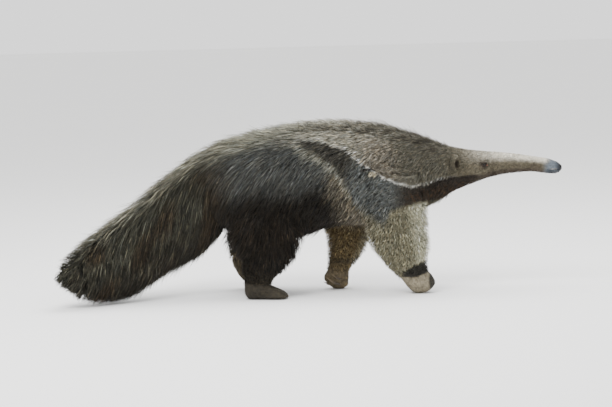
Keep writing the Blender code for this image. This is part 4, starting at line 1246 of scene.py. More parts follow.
class Graph:
    """A material's nodes, added one at a time."""

    def __init__(self, name: str) -> None:
        """A new material with one Principled shader."""
        self.material = bpy.data.materials.new(name)
        self.material.use_nodes = True
        self.tree = self.material.node_tree
        self.shader = self.tree.nodes["Principled BSDF"]

    def add(self, kind: str, **settings: object) -> bpy.types.Node:
        """A node of a kind, with its settings."""
        node = self.tree.nodes.new(kind)
        for name, value in settings.items():
            setattr(node, name, value)
        return node

    def link(self, output: Socket, socket: Socket) -> None:
        """Joins an output to an input."""
        self.tree.links.new(output, socket)

    def set(self, **values: float) -> None:
        """Sets the shader's own numbers, with _ for each space in a socket's name."""
        for name, value in values.items():
            self.shader.inputs[name.replace("_", " ")].default_value = value

    def attribute(self, name: str) -> bpy.types.Node:
        """A mesh attribute."""
        return self.add("ShaderNodeAttribute", attribute_name=name)

    def noise(self, scale: Point, detail: float) -> Socket:
        """Noise on Object coordinates, with a scale for each axis."""
        place = self.add("ShaderNodeTexCoord")
        mapping = self.add("ShaderNodeMapping")
        mapping.inputs["Scale"].default_value = scale
        self.link(place.outputs["Object"], mapping.inputs["Vector"])
        noise = self.add("ShaderNodeTexNoise")
        noise.inputs["Scale"].default_value = 1.0
        noise.inputs["Detail"].default_value = detail
        self.link(mapping.outputs["Vector"], noise.inputs["Vector"])
        return noise.outputs["Fac"]

    def span(self, value: Socket, low: float, high: float) -> Socket:
        """A noise spread from low to high."""
        node = self.add("ShaderNodeMapRange")
        node.inputs["From Min"].default_value, node.inputs["From Max"].default_value = NOISE_RANGE
        node.inputs["To Min"].default_value = low
        node.inputs["To Max"].default_value = high
        self.link(value, node.inputs["Value"])
        return node.outputs["Result"]

    def mixed(self, first: object, second: object, share: object, how: str = "MIX") -> Socket:
        """Two colours mixed: each of the three may be a socket or a value."""
        node = self.add("ShaderNodeMix", data_type="RGBA", blend_type=how)
        for name, value in (("Factor", share), ("A", first), ("B", second)):
            socket = next(s for s in node.inputs if s.name == name and s.enabled)
            if isinstance(value, Socket):
                self.link(value, socket)
            else:
                socket.default_value = value
        return next(s for s in node.outputs if s.enabled)

    def tinted(self, *fields: Socket) -> None:
        """Colours the shader by the tint attribute times each of the fields."""
        colour = self.attribute(TINT).outputs["Color"]
        for value in fields:
            colour = self.mixed(colour, value, 1.0, "MULTIPLY")
        self.link(colour, self.shader.inputs["Base Color"])

    def bump(self, height: Socket, distance: float, strength: float) -> None:
        """Bumps the shader's normal by a height."""
        node = self.add("ShaderNodeBump")
        node.inputs["Distance"].default_value = distance
        node.inputs["Strength"].default_value = strength
        self.link(height, node.inputs["Height"])
        self.link(node.outputs["Normal"], self.shader.inputs["Normal"])


@dataclass(frozen=True)
class FurFinish:
    """A tuft's finish: the tint of its place and a fine variation."""

    name: str = "fur"
    roughness: float = 0.68
    sheen: float = 0.02
    grain: Point = (90.0, 90.0, 90.0)
    light: Pair = (0.86, 1.12)

    def material(self) -> bpy.types.Material:
        """The material."""
        graph = Graph(self.name)
        graph.tinted(graph.span(graph.noise(self.grain, 2.0), *self.light))
        graph.set(Roughness=self.roughness, Specular_IOR_Level=0.14)
        graph.set(Sheen_Weight=self.sheen, Sheen_Roughness=0.5)
        return graph.material


@dataclass(frozen=True)
class SkinFinish:
    """Skin under short flat fur: fine streaks along the lie, in colour and in bump."""

    name: str = "skin"
    roughness: float = 0.78
    wet_roughness: float = 0.26
    streak: float = 620.0
    stretch: float = 90.0
    light: Pair = (0.62, 1.36)
    mottle: Point = (55.0, 55.0, 55.0)
    mottle_light: Pair = (0.84, 1.14)
    bump: Pair = (0.0012, 0.8)

    def material(self) -> bpy.types.Material:
        """Streaks run along X where the fall attribute is 0 and down where it is 1."""
        graph = Graph(self.name)
        along = graph.noise((self.stretch, self.streak, self.streak), 3.0)
        down = graph.noise((self.streak, self.streak, self.stretch), 3.0)
        streaks = graph.mixed(along, down, graph.attribute(FALL).outputs["Fac"])
        mottle = graph.span(graph.noise(self.mottle, 3.0), *self.mottle_light)
        graph.tinted(graph.span(streaks, *self.light), mottle)
        graph.set(Specular_IOR_Level=0.25, Sheen_Weight=0.03, Sheen_Roughness=0.5)
        dry = graph.add("ShaderNodeMapRange")
        dry.inputs["To Min"].default_value = self.roughness
        dry.inputs["To Max"].default_value = self.wet_roughness
        graph.link(graph.attribute(WET).outputs["Fac"], dry.inputs["Value"])
        graph.link(dry.outputs["Result"], graph.shader.inputs["Roughness"])
        graph.bump(streaks, *self.bump)
        return graph.material


@dataclass(frozen=True)
class ClawFinish:
    """Horn with fine lengthwise streaks, paler towards the tip."""

    name: str = "claw_horn"
    roughness: float = 0.38
    grain: Point = (260.0, 260.0, 700.0)
    light: Pair = (0.75, 1.2)
    bump: Pair = (0.0004, 0.4)

    def material(self) -> bpy.types.Material:
        """The material."""
        graph = Graph(self.name)
        light = graph.span(graph.noise(self.grain, 3.0), *self.light)
        graph.tinted(light)
        graph.set(Roughness=self.roughness, Specular_IOR_Level=0.5)
        graph.bump(light, *self.bump)
        return graph.material


@dataclass(frozen=True)
class EyeFinish:
    """A wet eye: reddish brown iris round a dark pupil, read by the angle from the eye's axis."""

    name: str = "eye_wet"
    stops: tuple = (
        (0.00, (7, 6, 5)),
        (0.34, (10, 7, 6)),
        (0.42, (42, 27, 19)),
        (0.66, (50, 32, 23)),
        (0.80, (24, 15, 11)),
        (1.00, (60, 44, 37)),
    )
    grain: Point = (900.0, 900.0, 900.0)
    light: Pair = (0.8, 1.2)

    def material(self) -> bpy.types.Material:
        """The material."""
        graph = Graph(self.name)
        ramp = graph.add("ShaderNodeValToRGB")
        while len(ramp.color_ramp.elements) < len(self.stops):
            ramp.color_ramp.elements.new(0.5)
        for element, (place, colour) in zip(ramp.color_ramp.elements, self.stops):
            element.position = place
            element.color = (*srgb(*colour), 1.0)
        graph.link(graph.attribute(GAZE).outputs["Fac"], ramp.inputs["Fac"])
        spots = graph.span(graph.noise(self.grain, 2.0), *self.light)
        colour = graph.mixed(ramp.outputs["Color"], spots, 1.0, "MULTIPLY")
        graph.link(colour, graph.shader.inputs["Base Color"])
        graph.set(Roughness=0.25, Specular_IOR_Level=0.3, Coat_Weight=0.55, Coat_Roughness=0.06)
        return graph.material


@dataclass(frozen=True)
class FloorFinish:
    """A plain pale floor."""

    colour: tuple = (244, 244, 243)
    grain: Point = (0.8, 0.8, 0.8)
    light: Pair = (0.99, 1.0)

    def material(self) -> bpy.types.Material:
        """The material."""
        graph = Graph("floor")
        light = graph.span(graph.noise(self.grain, 1.0), *self.light)
        colour = graph.mixed((*srgb(*self.colour), 1.0), light, 1.0, "MULTIPLY")
        graph.link(colour, graph.shader.inputs["Base Color"])
        graph.set(Roughness=0.9, Specular_IOR_Level=0.1)
        return graph.material


def make_object(name: str, points: Array, faces: Array, material: bpy.types.Material) -> bpy.types.Object:
    """A smooth mesh object at the origin, with its place in its mesh.

    Args:
        name: The object's name.
        points: Its vertices about the spine.
        faces: Rows of vertex numbers, all of one length.
        material: Its material.

    Returns:
        The object, linked to the scene.
    """
    data = bpy.data.meshes.new(name)
    data.vertices.add(len(points))
    data.vertices.foreach_set("co", (points + (0.0, SPINE_Y, 0.0)).astype(np.float32).ravel())
    data.loops.add(faces.size)
    data.loops.foreach_set("vertex_index", faces.astype(np.int32).ravel())
    data.polygons.add(len(faces))
    data.polygons.foreach_set("loop_start", np.arange(0, faces.size, faces.shape[1], dtype=np.int32))
    data.update(calc_edges=True)
    data.shade_smooth()
    data.materials.append(material)
    obj = bpy.data.objects.new(name, data)
    bpy.context.scene.collection.objects.link(obj)
    log.info("%s: %d faces", name, len(faces))
    return obj


def set_tint(obj: bpy.types.Object, colours: Array) -> None:
    """Stores a linear colour for each vertex."""
    attribute = obj.data.color_attributes.new(TINT, "FLOAT_COLOR", "POINT")
    full = np.concatenate([colours, np.ones((len(colours), 1))], axis=1)
    attribute.data.foreach_set("color", full.astype(np.float32).ravel())


def set_value(obj: bpy.types.Object, name: str, values: Array) -> None:
    """Stores a number for each vertex."""
    obj.data.attributes.new(name, "FLOAT", "POINT").data.foreach_set("value", values.astype(np.float32))


def set_unwrap(obj: bpy.types.Object, corners: Array) -> None:
    """Stores the unwrap, a point for each face corner."""
    layer = obj.data.uv_layers.new(name=BAKE_MAP)
    layer.uv.foreach_set("vector", corners.astype(np.float32).ravel())


def grid_faces(rows: int, sides: int) -> Array:
    """Quads between rings of points that close round, in the order ring by ring."""
    ring, side = np.meshgrid(np.arange(rows - 1), np.arange(sides), indexing="ij")
    after = (side + 1) % sides
    quads = (ring * sides + side, ring * sides + after, (ring + 1) * sides + after, (ring + 1) * sides + side)
    return np.stack(quads, axis=-1).reshape(-1, 4)


def lines(breaks: tuple[float, ...], steps: tuple[float, ...]) -> Array:
    """Numbers from the first break to the last, at about the given step between each two breaks."""
    made = [np.array(breaks[:1])]
    for low, high, step in zip(breaks, breaks[1:], steps):
        made.append(np.linspace(low, high, max(2, round((high - low) / step) + 1))[1:])
    return np.concatenate(made)


@dataclass
class Skin:
    """One closed skin over the whole body, netted on a grid whose steps are finer where the detail is.

    The fall is where the fur's streaks turn downwards, and the wet skin is the nose.
    """

    body: Body
    markings: Markings
    x_breaks: tuple = (-0.93, -0.30, 0.445, 0.508, 0.546, 0.608, 0.652, 0.845, 0.915)
    x_steps: tuple = (0.014, 0.0063, 0.0046, 0.0017, 0.0046, 0.0013, 0.0046, 0.0015)
    y_breaks: tuple = (-0.37, -0.175, -0.078, -0.050, -0.022, 0.022, 0.050, 0.078, 0.175)
    y_steps: tuple = (0.013, 0.0056, 0.0026, 0.0018, 0.0033, 0.0018, 0.0026, 0.0056)
    z_breaks: tuple = (-0.006, 0.130, 0.390, 0.419, 0.428, 0.500, 0.640)
    z_steps: tuple = (0.0048, 0.0100, 0.0045, 0.0010, 0.0017, 0.0100)
    slab: int = 24
    fall_z: Pair = (0.36, 0.28)
    fall_x: Pair = (0.12, -0.05)
    wet_lean: float = 0.6
    wet_level: float = 0.44
    wet_x: Pair = (0.850, 0.870)

    def sample(self, xs: Array, ys: Array, zs: Array) -> Array:
        """The distance outside the skin on the whole grid, a slab at a time."""
        made = np.empty((len(xs), len(ys), len(zs)), np.float32)
        for start in range(0, len(xs), self.slab):
            part = xs[start : start + self.slab]
            points = np.stack(np.meshgrid(part, ys, zs, indexing="ij"), axis=-1)
            made[start : start + self.slab] = self.body.skin(points)
        return made

    def net(self, values: Array, axes: tuple[Array, Array, Array]) -> tuple[Array, Array]:
        """A net over the surface where the values change sign.

        Each cell that the surface crosses gets one vertex, at the mean of the crossings on its twelve edges,
        and each grid edge that the surface crosses gets one quad between the four cells round it.
        """
        inside = values < 0
        corners = list(product((0, 1), repeat=3))
        count = np.zeros([n - 1 for n in inside.shape], np.int8)
        for corner in corners:
            count += inside[tuple(slice(i, i + n) for i, n in zip(corner, count.shape))]
        active = (count > 0) & (count < len(corners))
        cells = np.argwhere(active)
        number = np.full(active.shape, -1, np.int64)
        number[active] = np.arange(len(cells))
        total = np.zeros((len(cells), 3))
        crossings = np.zeros(len(cells))
        for corner in corners:
            for axis in (i for i in range(3) if not corner[i]):
                a = cells + corner
                b = a.copy()
                b[:, axis] += 1
                va, vb = values[tuple(a.T)], values[tuple(b.T)]
                crossed = (va < 0) != (vb < 0)
                share = np.where(crossed, va / np.where(crossed, va - vb, 1), 0)
                start = np.stack([axes[i][a[:, i]] for i in range(3)], axis=1)
                stop = np.stack([axes[i][b[:, i]] for i in range(3)], axis=1)
                total += (start + (stop - start) * share[:, None]) * crossed[:, None]
                crossings += crossed
        points = total / crossings[:, None]
        return points, self.quads(inside, number)

    def quads(self, inside: Array, number: Array) -> Array:
        """The quads of the net, each facing outwards."""
        faces = []
        for axis in range(3):
            one, two = [i for i in range(3) if i != axis]
            if axis == 1:
                one, two = two, one
            low = np.take(inside, range(inside.shape[axis] - 1), axis)
            high = np.take(inside, range(1, inside.shape[axis]), axis)
            for flip, crossed in ((False, low & ~high), (True, ~low & high)):
                at = np.argwhere(crossed)
                at = at[(at[:, one] > 0) & (at[:, two] > 0)]
                at = at[(at[:, one] < number.shape[one]) & (at[:, two] < number.shape[two])]
                ring = []
                for back_one, back_two in ((1, 1), (0, 1), (0, 0), (1, 0)):
                    cell = at.copy()
                    cell[:, one] -= back_one
                    cell[:, two] -= back_two
                    ring.append(number[tuple(cell.T)])
                quad = np.stack(ring, axis=1)
                faces.append(quad[:, ::-1] if flip else quad)
        return np.concatenate(faces)

    def unwrap(self, points: Array, faces: Array) -> Array:
        """Each face on the chart of the form nearest to its middle, the girth carried on past its seam."""
        middle = points[faces].mean(axis=1)
        forms = list(self.body.forms.values())
        nearest = np.argmin(np.stack([form.near(middle) for form in forms]), axis=0)
        corners = np.zeros((*faces.shape, 2))
        for i, form in enumerate(forms):
            own = nearest == i
            place, turn = form.turn_of(points[faces[own]])
            wrap = (turn.max(axis=1) - turn.min(axis=1) > math.pi)[:, None] & (turn < 0)
            corners[own] = form.unwrap(place, turn + 2 * math.pi * wrap)
        return corners.reshape(-1, 2)

    def build(self, finish: SkinFinish) -> tuple[bpy.types.Object, Array, Array]:
        """The skin as one object, with its vertices and faces."""
        rows = ((self.x_breaks, self.x_steps), (self.y_breaks, self.y_steps), (self.z_breaks, self.z_steps))
        axes = tuple(lines(*row) for row in rows)
        points, faces = self.net(self.sample(*axes), axes)
        points = self.body.settle(points)
        faces = main_shell(faces, len(points))
        used, faces = np.unique(faces, return_inverse=True)
        points, faces = points[used], faces.reshape(-1, 4)
        obj = make_object("skin", points, faces, finish.material())
        set_tint(obj, self.markings.paint(points))
        x, z = points[:, 0], points[:, 2]
        set_value(obj, FALL, np.clip(fade(z, *self.fall_z) + fade(x, *self.fall_x), 0, 1))
        set_value(obj, WET, fade(x + self.wet_lean * (z - self.wet_level), *self.wet_x))
        set_unwrap(obj, self.unwrap(points, faces))
        return obj, points, faces


def main_shell(faces: Array, count: int) -> Array:
    """The faces of the largest connected surface: the lowest vertex number spreads along faces."""
    label = np.arange(count)
    for _ in range(count):
        low = label[faces].min(axis=1)
        fresh = label.copy()
        np.minimum.at(fresh, faces.ravel(), np.repeat(low, faces.shape[1]))
        fresh = fresh[fresh]
        if np.array_equal(fresh, label):
            break
        label = fresh
    own = label[faces[:, 0]]
    values, counts = np.unique(own, return_counts=True)
    return faces[own == values[np.argmax(counts)]]


@dataclass
class Eyes:
    """Two eyeballs in their sockets."""

    head: HeadDetail
    gaze: Point = (0.30, 1.0, 0.02)
    bulge: float = 0.035
    bulge_from: Pair = (0.80, 1.0)
    rings: int = 25
    sides: int = 40

    def build(self, finish: EyeFinish) -> list[bpy.types.Object]:
        """Each eye is a ball with a low swell in front, its rings round the axis that it looks along."""
        made = []
        material = finish.material()
        tilt = np.linspace(0.0, math.pi, self.rings)[1:-1, None]
        turn = np.linspace(0, 2 * math.pi, self.sides, endpoint=False)[None, :]
        for side in Side:
            mirror = np.array([1.0, side.value, 1.0])
            axis = unit(np.array(self.gaze) * mirror)
            up = unit(np.array([0.0, 0.0, 1.0]) - axis * axis[2])
            across = np.cross(axis, up)
            middle = np.array(self.head.eye) * mirror
            ring = np.cos(tilt)[..., None] * axis
            ring = ring + (np.sin(tilt) * np.cos(turn))[..., None] * up
            ring = ring + (np.sin(tilt) * np.sin(turn))[..., None] * across
            swell = self.head.eye_radius * (1.0 + self.bulge * fade(ring @ axis, *self.bulge_from))
            points = middle + ring * swell[..., None]
            front = middle + axis * self.head.eye_radius * (1.0 + self.bulge)
            back = middle - axis * self.head.eye_radius
            name = f"eyeball_{side.name.lower()}"
            obj = capped_object(name, points, front, back, material)
            level = np.concatenate([np.repeat(np.cos(tilt[:, 0]), self.sides), [1.0, -1.0]])
            set_value(obj, GAZE, np.arccos(np.clip(level, -1, 1)) / (0.5 * math.pi))
            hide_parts(f"eye_{side.name.lower()}")
            ride(obj)
            made.append(obj)
        return made


def cap_faces(rings: int, sides: int) -> Array:
    """Triangles over rings of points, closed at both ends by fans to two more points at the list's end."""
    quads = grid_faces(rings, sides)
    here = np.arange(sides)
    after = (here + 1) % sides
    count = rings * sides
    start = np.stack([after, here, np.full(sides, count)], axis=1)
    last = count - sides
    end = np.stack([last + here, last + after, np.full(sides, count + 1)], axis=1)
    return np.concatenate([quads[:, [0, 1, 2]], quads[:, [0, 2, 3]], start, end])


def faced_outward(points: Array, faces: Array) -> Array:
    """The triangles turned so that the body they close has a positive volume."""
    a, b, c = (points[faces[:, i]] - points.mean(axis=0) for i in range(3))
    return faces[:, ::-1] if np.einsum("ij,ij->", a, np.cross(b, c)) < 0 else faces


def capped_object(
    name: str, rings: Array, first: Array, last: Array, material: bpy.types.Material
) -> bpy.types.Object:
    """A body through rings of points, closed at both ends by fans to a middle point, facing outwards.

    Args:
        name: The object's name.
        rings: The points, by ring and by place round it.
        first: The middle point of the first end.
        last: The middle point of the last end.
        material: The object's material.

    Returns:
        The object.
    """
    points = np.vstack([rings.reshape(-1, 3), first, last])
    faces = faced_outward(points, cap_faces(*rings.shape[:2]))
    obj = make_object(name, points, faces, material)
    share = unit(points[faces] - points.mean(axis=0)) * 0.5 + 0.5
    set_unwrap(obj, CHARTS["small"].place(share[..., 0], share[..., 2]))
    return obj


@dataclass
class Claws:
    """The claws of the four feet, each a tapered arc of horn."""

    sides: int = 12
    rings: int = 16
    breadth: float = 0.8
    tip: float = 0.06
    taper: float = 1.6
    point: float = 0.3
    floor: float = 0.0006
    root_colour: tuple = (54, 46, 36)
    tip_colour: tuple = (112, 98, 74)
    paler: Pair = (0.3, 1.0)

    def arc(self, foot: str, claw: Claw) -> tuple[Array, Array]:
        """Rings along an arc of the claw's length and turn, narrowing by a power, and its tip's point."""
        root, ahead, curl = claw_place(foot, claw)
        angle = np.linspace(0, 2 * math.pi, self.sides, endpoint=False)
        t = np.linspace(0, 1, self.rings)
        across = np.cross(ahead, curl)
        turn = claw.turn * t
        run = claw.length / claw.turn
        centre = root - ahead * claw.radius + np.outer(run * np.sin(turn), ahead)
        centre = centre + np.outer(run * (1 - np.cos(turn)), curl)
        up = np.outer(np.cos(turn), curl) - np.outer(np.sin(turn), ahead)
        radius = claw.radius * (1 - (1 - self.tip) * t**self.taper)
        points = centre[:, None, :] + (radius[:, None] * np.cos(angle))[..., None] * up[:, None, :]
        points = points + (self.breadth * radius[:, None] * np.sin(angle))[..., None] * across
        points[..., 2] = np.maximum(points[..., 2], self.floor)
        end = points[-1].mean(axis=0) * (1 + self.point) - points[-2].mean(axis=0) * self.point
        return points, end

    def build(self, finish: ClawFinish) -> list[bpy.types.Object]:
        """One piece for each foot, darker at the roots."""
        material = finish.material()
        made = []
        for foot, (claws, _) in CLAW_SETS.items():
            points, faces, shade, start = [], [], [], 0
            for claw in claws:
                rings, end = self.arc(foot, claw)
                own = np.vstack([rings.reshape(-1, 3), rings[0].mean(axis=0), end])
                points.append(own)
                faces.append(faced_outward(own, cap_faces(self.rings, self.sides)) + start)
                level = np.repeat(np.linspace(0, 1, self.rings), self.sides)
                shade.append(np.concatenate([level, [0.0, 1.0]]))
                start += len(own)
            whole, rows, level = np.concatenate(points), np.concatenate(faces), np.concatenate(shade)
            obj = make_object(f"claws_{foot}", whole, rows, material)
            root = np.broadcast_to(srgb(*self.root_colour), whole.shape)
            set_tint(obj, blend(root, srgb(*self.tip_colour), fade(level, *self.paler)))
            around = (rows % self.sides) / self.sides
            set_unwrap(obj, CHARTS["small"].place(level[rows], around))
            kind, side = foot.split("foot_")
            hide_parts(*[f"claw_{kind}_{side}_{i + 1}" for i in range(len(claws))])
            ride(obj)
            made.append(obj)
        return made


@dataclass
class Lie:
    """How the coat lies: the way it points, its length, and the space it fills, by place on the body.

    Angles are in degrees below the horizontal, at the crown, the middle and the foot of a section.
    """

    body: Body
    trunk_x: tuple = (-0.385, -0.10, 0.10, 0.30, 0.45, 0.60, 0.75, 0.91)
    trunk_angles: tuple = (
        (14, 10, 9, 12, 16, 8, 4, 3),
        (60, 57, 50, 48, 52, 20, 6, 4),
        (74, 68, 62, 58, 48, 18, 6, 4),
    )
    trunk_lengths: tuple = (
        (0.105, 0.080, 0.056, 0.040, 0.026, 0.013, 0.008, 0.004),
        (0.100, 0.080, 0.050, 0.034, 0.022, 0.012, 0.007, 0.004),
        (0.085, 0.085, 0.040, 0.036, 0.026, 0.012, 0.007, 0.004),
    )
    tail_angles: tuple = (22, 72, 80)
    fan_angles: tuple = (-4, 44, 80)
    tail_x: tuple = (-0.90, -0.80, -0.65, -0.45, -0.25)
    tail_lengths: tuple = (0.020, 0.056, 0.115, 0.130, 0.110)
    limb_z: tuple = (0.05, 0.10, 0.16, 0.24, 0.34)
    foreleg_lengths: tuple = (0.010, 0.015, 0.024, 0.034, 0.042)
    hindleg_lengths: tuple = (0.010, 0.017, 0.038, 0.072, 0.085)
    foot_length: float = 0.0085
    upper: Pair = (0.62, 0.97)
    lower: Pair = (0.12, 0.45)
    tail_start: Pair = (-0.24, -0.36)
    fan_start: Pair = (-0.74, -0.86)
    limb_lie: Point = (-0.14, 0.0, -1.0)
    limb_reach: Pair = (0.050, 0.015)
    limb_top: Pair = (0.36, 0.25)
    foot_lie: Point = (0.85, 0.0, -0.5)
    foot_reach: Pair = (0.020, 0.006)
    foot_top: Pair = (0.092, 0.060)
    bare_x: Pair = (0.237, 0.030)
    bare_z: Pair = (0.450, 0.026)
    bare_share: float = 0.78
    least_depth: float = 0.0010

    def levels(self, height: Array, crown: Array, middle: Array, low: Array) -> Array:
        """A number between those of crown, middle and foot, by the height's share of the section."""
        upper = blend_values(middle, crown, fade(height, *self.upper))
        return blend_values(low, upper, fade(height, *self.lower))

    def flow(self, points: Array) -> tuple[Array, Array]:
        """The way the coat points and its length at places on the skin.

        Trunk, tail, limbs and feet each give a direction and a length, laid over each other by smooth masks.
        """
        x, z = points[..., 0], points[..., 2]
        trunk, tail = self.body.trunk.outline, self.body.tail.outline
        top, bottom = (np.interp(x, trunk[:, 0], trunk[:, i]) for i in (1, 2))
        height = (z - bottom) / np.maximum(top - bottom, LEAST_HEIGHT)
        angle, length = (
            self.levels(height, *(np.interp(x, self.trunk_x, row) for row in table))
            for table in (self.trunk_angles, self.trunk_lengths)
        )
        angle = np.radians(angle)
        lie = np.stack([-np.cos(angle), 0 * x, -np.sin(angle)], axis=-1)
        middle = np.stack([tail[:, 0], tail[:, 6], tail[:, 3]], axis=1)
        axis = -unit(np.gradient(middle, axis=0))
        axis = np.stack([np.interp(x, tail[:, 0], axis[:, i]) for i in range(3)], axis=-1)
        top, bottom = (np.interp(x, tail[:, 0], tail[:, i]) for i in (1, 2))
        height = (z - bottom) / np.maximum(top - bottom, LEAST_HEIGHT)
        angle = np.radians(self.levels(height, *self.tail_angles))
        down = np.array([0.0, 0.0, -1.0])
        on_tail = fade(x, *self.tail_start)
        hair = unit(axis * np.cos(angle)[..., None] + down * np.sin(angle)[..., None])
        angle = np.radians(self.levels(height, *self.fan_angles))
        fan = np.stack([-np.cos(angle), axis[..., 1], -np.sin(angle)], axis=-1)
        lie = blend(lie, blend(hair, unit(fan), fade(x, *self.fan_start)), on_tail)
        length = blend_values(length, np.interp(x, self.tail_x, self.tail_lengths), on_tail)
        for name, limb in self.body.limbs.items():
            on_limb = fade(limb.near(points), *self.limb_reach) * fade(z, *self.limb_top)
            lie = blend(lie, np.array(self.limb_lie), on_limb)
            lengths = self.foreleg_lengths if name.startswith("fore") else self.hindleg_lengths
            length = blend_values(length, np.interp(z, self.limb_z, lengths), on_limb)
        length = length * (1.0 - self.bare_share * (bell(x, *self.bare_x) * bell(z, *self.bare_z)))
        for foot in self.body.feet.values():
            on_foot = fade(foot.near(points), *self.foot_reach) * fade(z, *self.foot_top)
            lie = blend(lie, np.array(self.foot_lie), on_foot)
            length = blend_values(length, np.full_like(length, self.foot_length), on_foot)
        return unit(lie), length

    def depth(self, points: Array) -> Array:
        """The depth of the coat at places on the skin: how far they lie inside the outline."""
        made = np.full(points.shape[:-1], FAR)
        for form in self.body.forms.values():
            near = np.all((points > form.low) & (points < form.high), axis=-1)
            own = np.full(points.shape[:-1], FAR)
            own[near] = form.outside(form.outline, points[near])
            made = np.minimum(made, own)
        return np.maximum(-made, self.least_depth)


@dataclass(frozen=True)
class Growth:
    """One piece of coat: where its roots are, how many, and how its tufts look.

    A box holds the lowest and highest x and z of the roots. Length is a share of the lie's length, width is a
    tuft's breadth in metres, reach is a share of the coat's depth, and lift is added to it.
    """

    piece: str
    slot: Slot
    forms: tuple[str, ...]
    box: tuple[float, float, float, float]
    count: int
    width: float
    sides: tuple[int, ...] = (1, -1)
    length: float = 1.0
    reach: float = 1.0
    stray: float = 0.10
    vary: float = 0.22
    swerve: float = 7.0
    wave: float = 0.0
    lift: float = 0.0
    clump: float = 0.0
    pull: float = 0.0
    tone: Pair = (0.46, 1.22)


@dataclass(frozen=True)
class Habit:
    """How every tuft grows, and how tufts differ from one to the next.

    Pairs are the least and the greatest of a random share. A stray is a tuft that stands out of the coat.
    """

    stations: int = 3
    root_depth: float = 0.0015
    swell: float = 0.12
    swell_size: float = 0.07
    swell_seed: int = 21
    length: Pair = (0.45, 1.6)
    reach: float = 1.02
    reach_drop: float = 0.34
    reach_power: float = 1.5
    stray_reach: Pair = (1.1, 1.45)
    stray_lift: float = 2.0
    steepest: float = 0.85
    least_run: float = 0.04
    sway: float = 0.8
    sway_size: float = 0.05
    sway_seed: int = 22
    scatter: float = 0.6
    sink: float = 0.22
    longest_path: float = 1.15
    path_spare: float = 0.006
    curl: float = 6.0
    curl_power: float = 0.7
    pull: Pair = (0.3, 1.0)
    pull_power: float = 1.4
    warp: float = 0.35
    warp_size: float = 3.0
    warp_seed: int = 40
    floor: float = 0.0012
    width: Pair = (0.65, 1.3)


@dataclass(frozen=True)
class Speckle:
    """How the colours of neighbouring tufts differ: in lightness, in warmth, and by dark and pale ones.

    The tail, which starts along tail_x, has more of both.
    """

    scatter: float = 0.0015
    light: float = 0.42
    dark: Pair = (0.14, 0.20)
    pale: Pair = (0.10, 0.10)
    dark_light: float = 0.42
    pale_light: float = 1.75
    tail_x: Pair = (-0.25, -0.40)
    warm: float = 0.05
    warmth: Point = (1.0, 0.2, -1.0)
    limits: Pair = (0.002, 0.85)


# A tuft's breadth by its share t of the way to the tip, as a + bt + ct^2, the height of its ridge in half
# breadths, the power by which its tone rises to the tip, and the size of its patch on the unwrap.
TUFT_PROFILE = (0.62, 1.1, -1.35)
TUFT_RIDGE = 0.8
TONE_POWER = 0.8
PATCH = 0.003


@dataclass
class Tufts:
    """Paths, widths and colours of many tufts, and the mesh made from them."""

    paths: Array
    out: Array
    width: Array
    colour: Array
    place: Array
    tone: Pair

    def mesh(self) -> tuple[Array, Array, Array, Array]:
        """Closed three-sided tufts: a ring at each station but the last, which is the tip.

        A ring's corners are the path point moved half a breadth to each side and a ridge's height outwards.

        Returns:
            Vertices, triangles, a colour for each vertex and an unwrap point for each corner.
        """
        count, stations = self.paths.shape[:2]
        along = unit(np.gradient(self.paths, axis=1))
        across = unit(np.cross(along, self.out[:, None, :]))
        ridge = np.cross(across, along)
        t = np.linspace(0, 1, stations)[:-1]
        start, rise, fall = TUFT_PROFILE
        half = (self.width[:, None] * 0.5 * (start + rise * t + fall * t**2))[..., None]
        centre = self.paths[:, :-1]
        across, ridge = across[:, :-1] * half, ridge[:, :-1] * half * TUFT_RIDGE
        rings = np.stack([centre - across, centre + across, centre + ridge], axis=2)
        points = np.concatenate([rings.reshape(count, -1, 3), self.paths[:, -1:]], axis=1)
        size = points.shape[1]
        one = self.faces(stations, size)
        faces = (one[None] + size * np.arange(count)[:, None, None]).reshape(-1, 3)
        level = np.concatenate([np.repeat(t, 3), [1.0]])
        tone = self.tone[0] + (self.tone[1] - self.tone[0]) * level**TONE_POWER
        colour = self.colour[:, None, :] * tone[None, :, None]
        side = np.concatenate([np.tile([0.0, 1.0, 0.5], stations - 1), [0.5]])
        patch = (np.stack([side, level], axis=1) - 0.5) * PATCH
        corners = self.place[:, None, None, :] + patch[one][None]
        return points.reshape(-1, 3), faces, colour.reshape(-1, 3), corners.reshape(-1, 2)

    def faces(self, stations: int, size: int) -> Array:
        """The triangles of one tuft: three sides between rings, a point and a flat root."""
        rows = []
        for ring, side in product(range(stations - 2), range(3)):
            after = (side + 1) % 3
            low, high = 3 * ring, 3 * (ring + 1)
            rows += [(low + side, low + after, high + after), (low + side, high + after, high + side)]
        last = 3 * (stations - 2)
        rows += [(last + side, last + (side + 1) % 3, size - 1) for side in range(3)]
        return np.array(rows + [(0, 2, 1)])


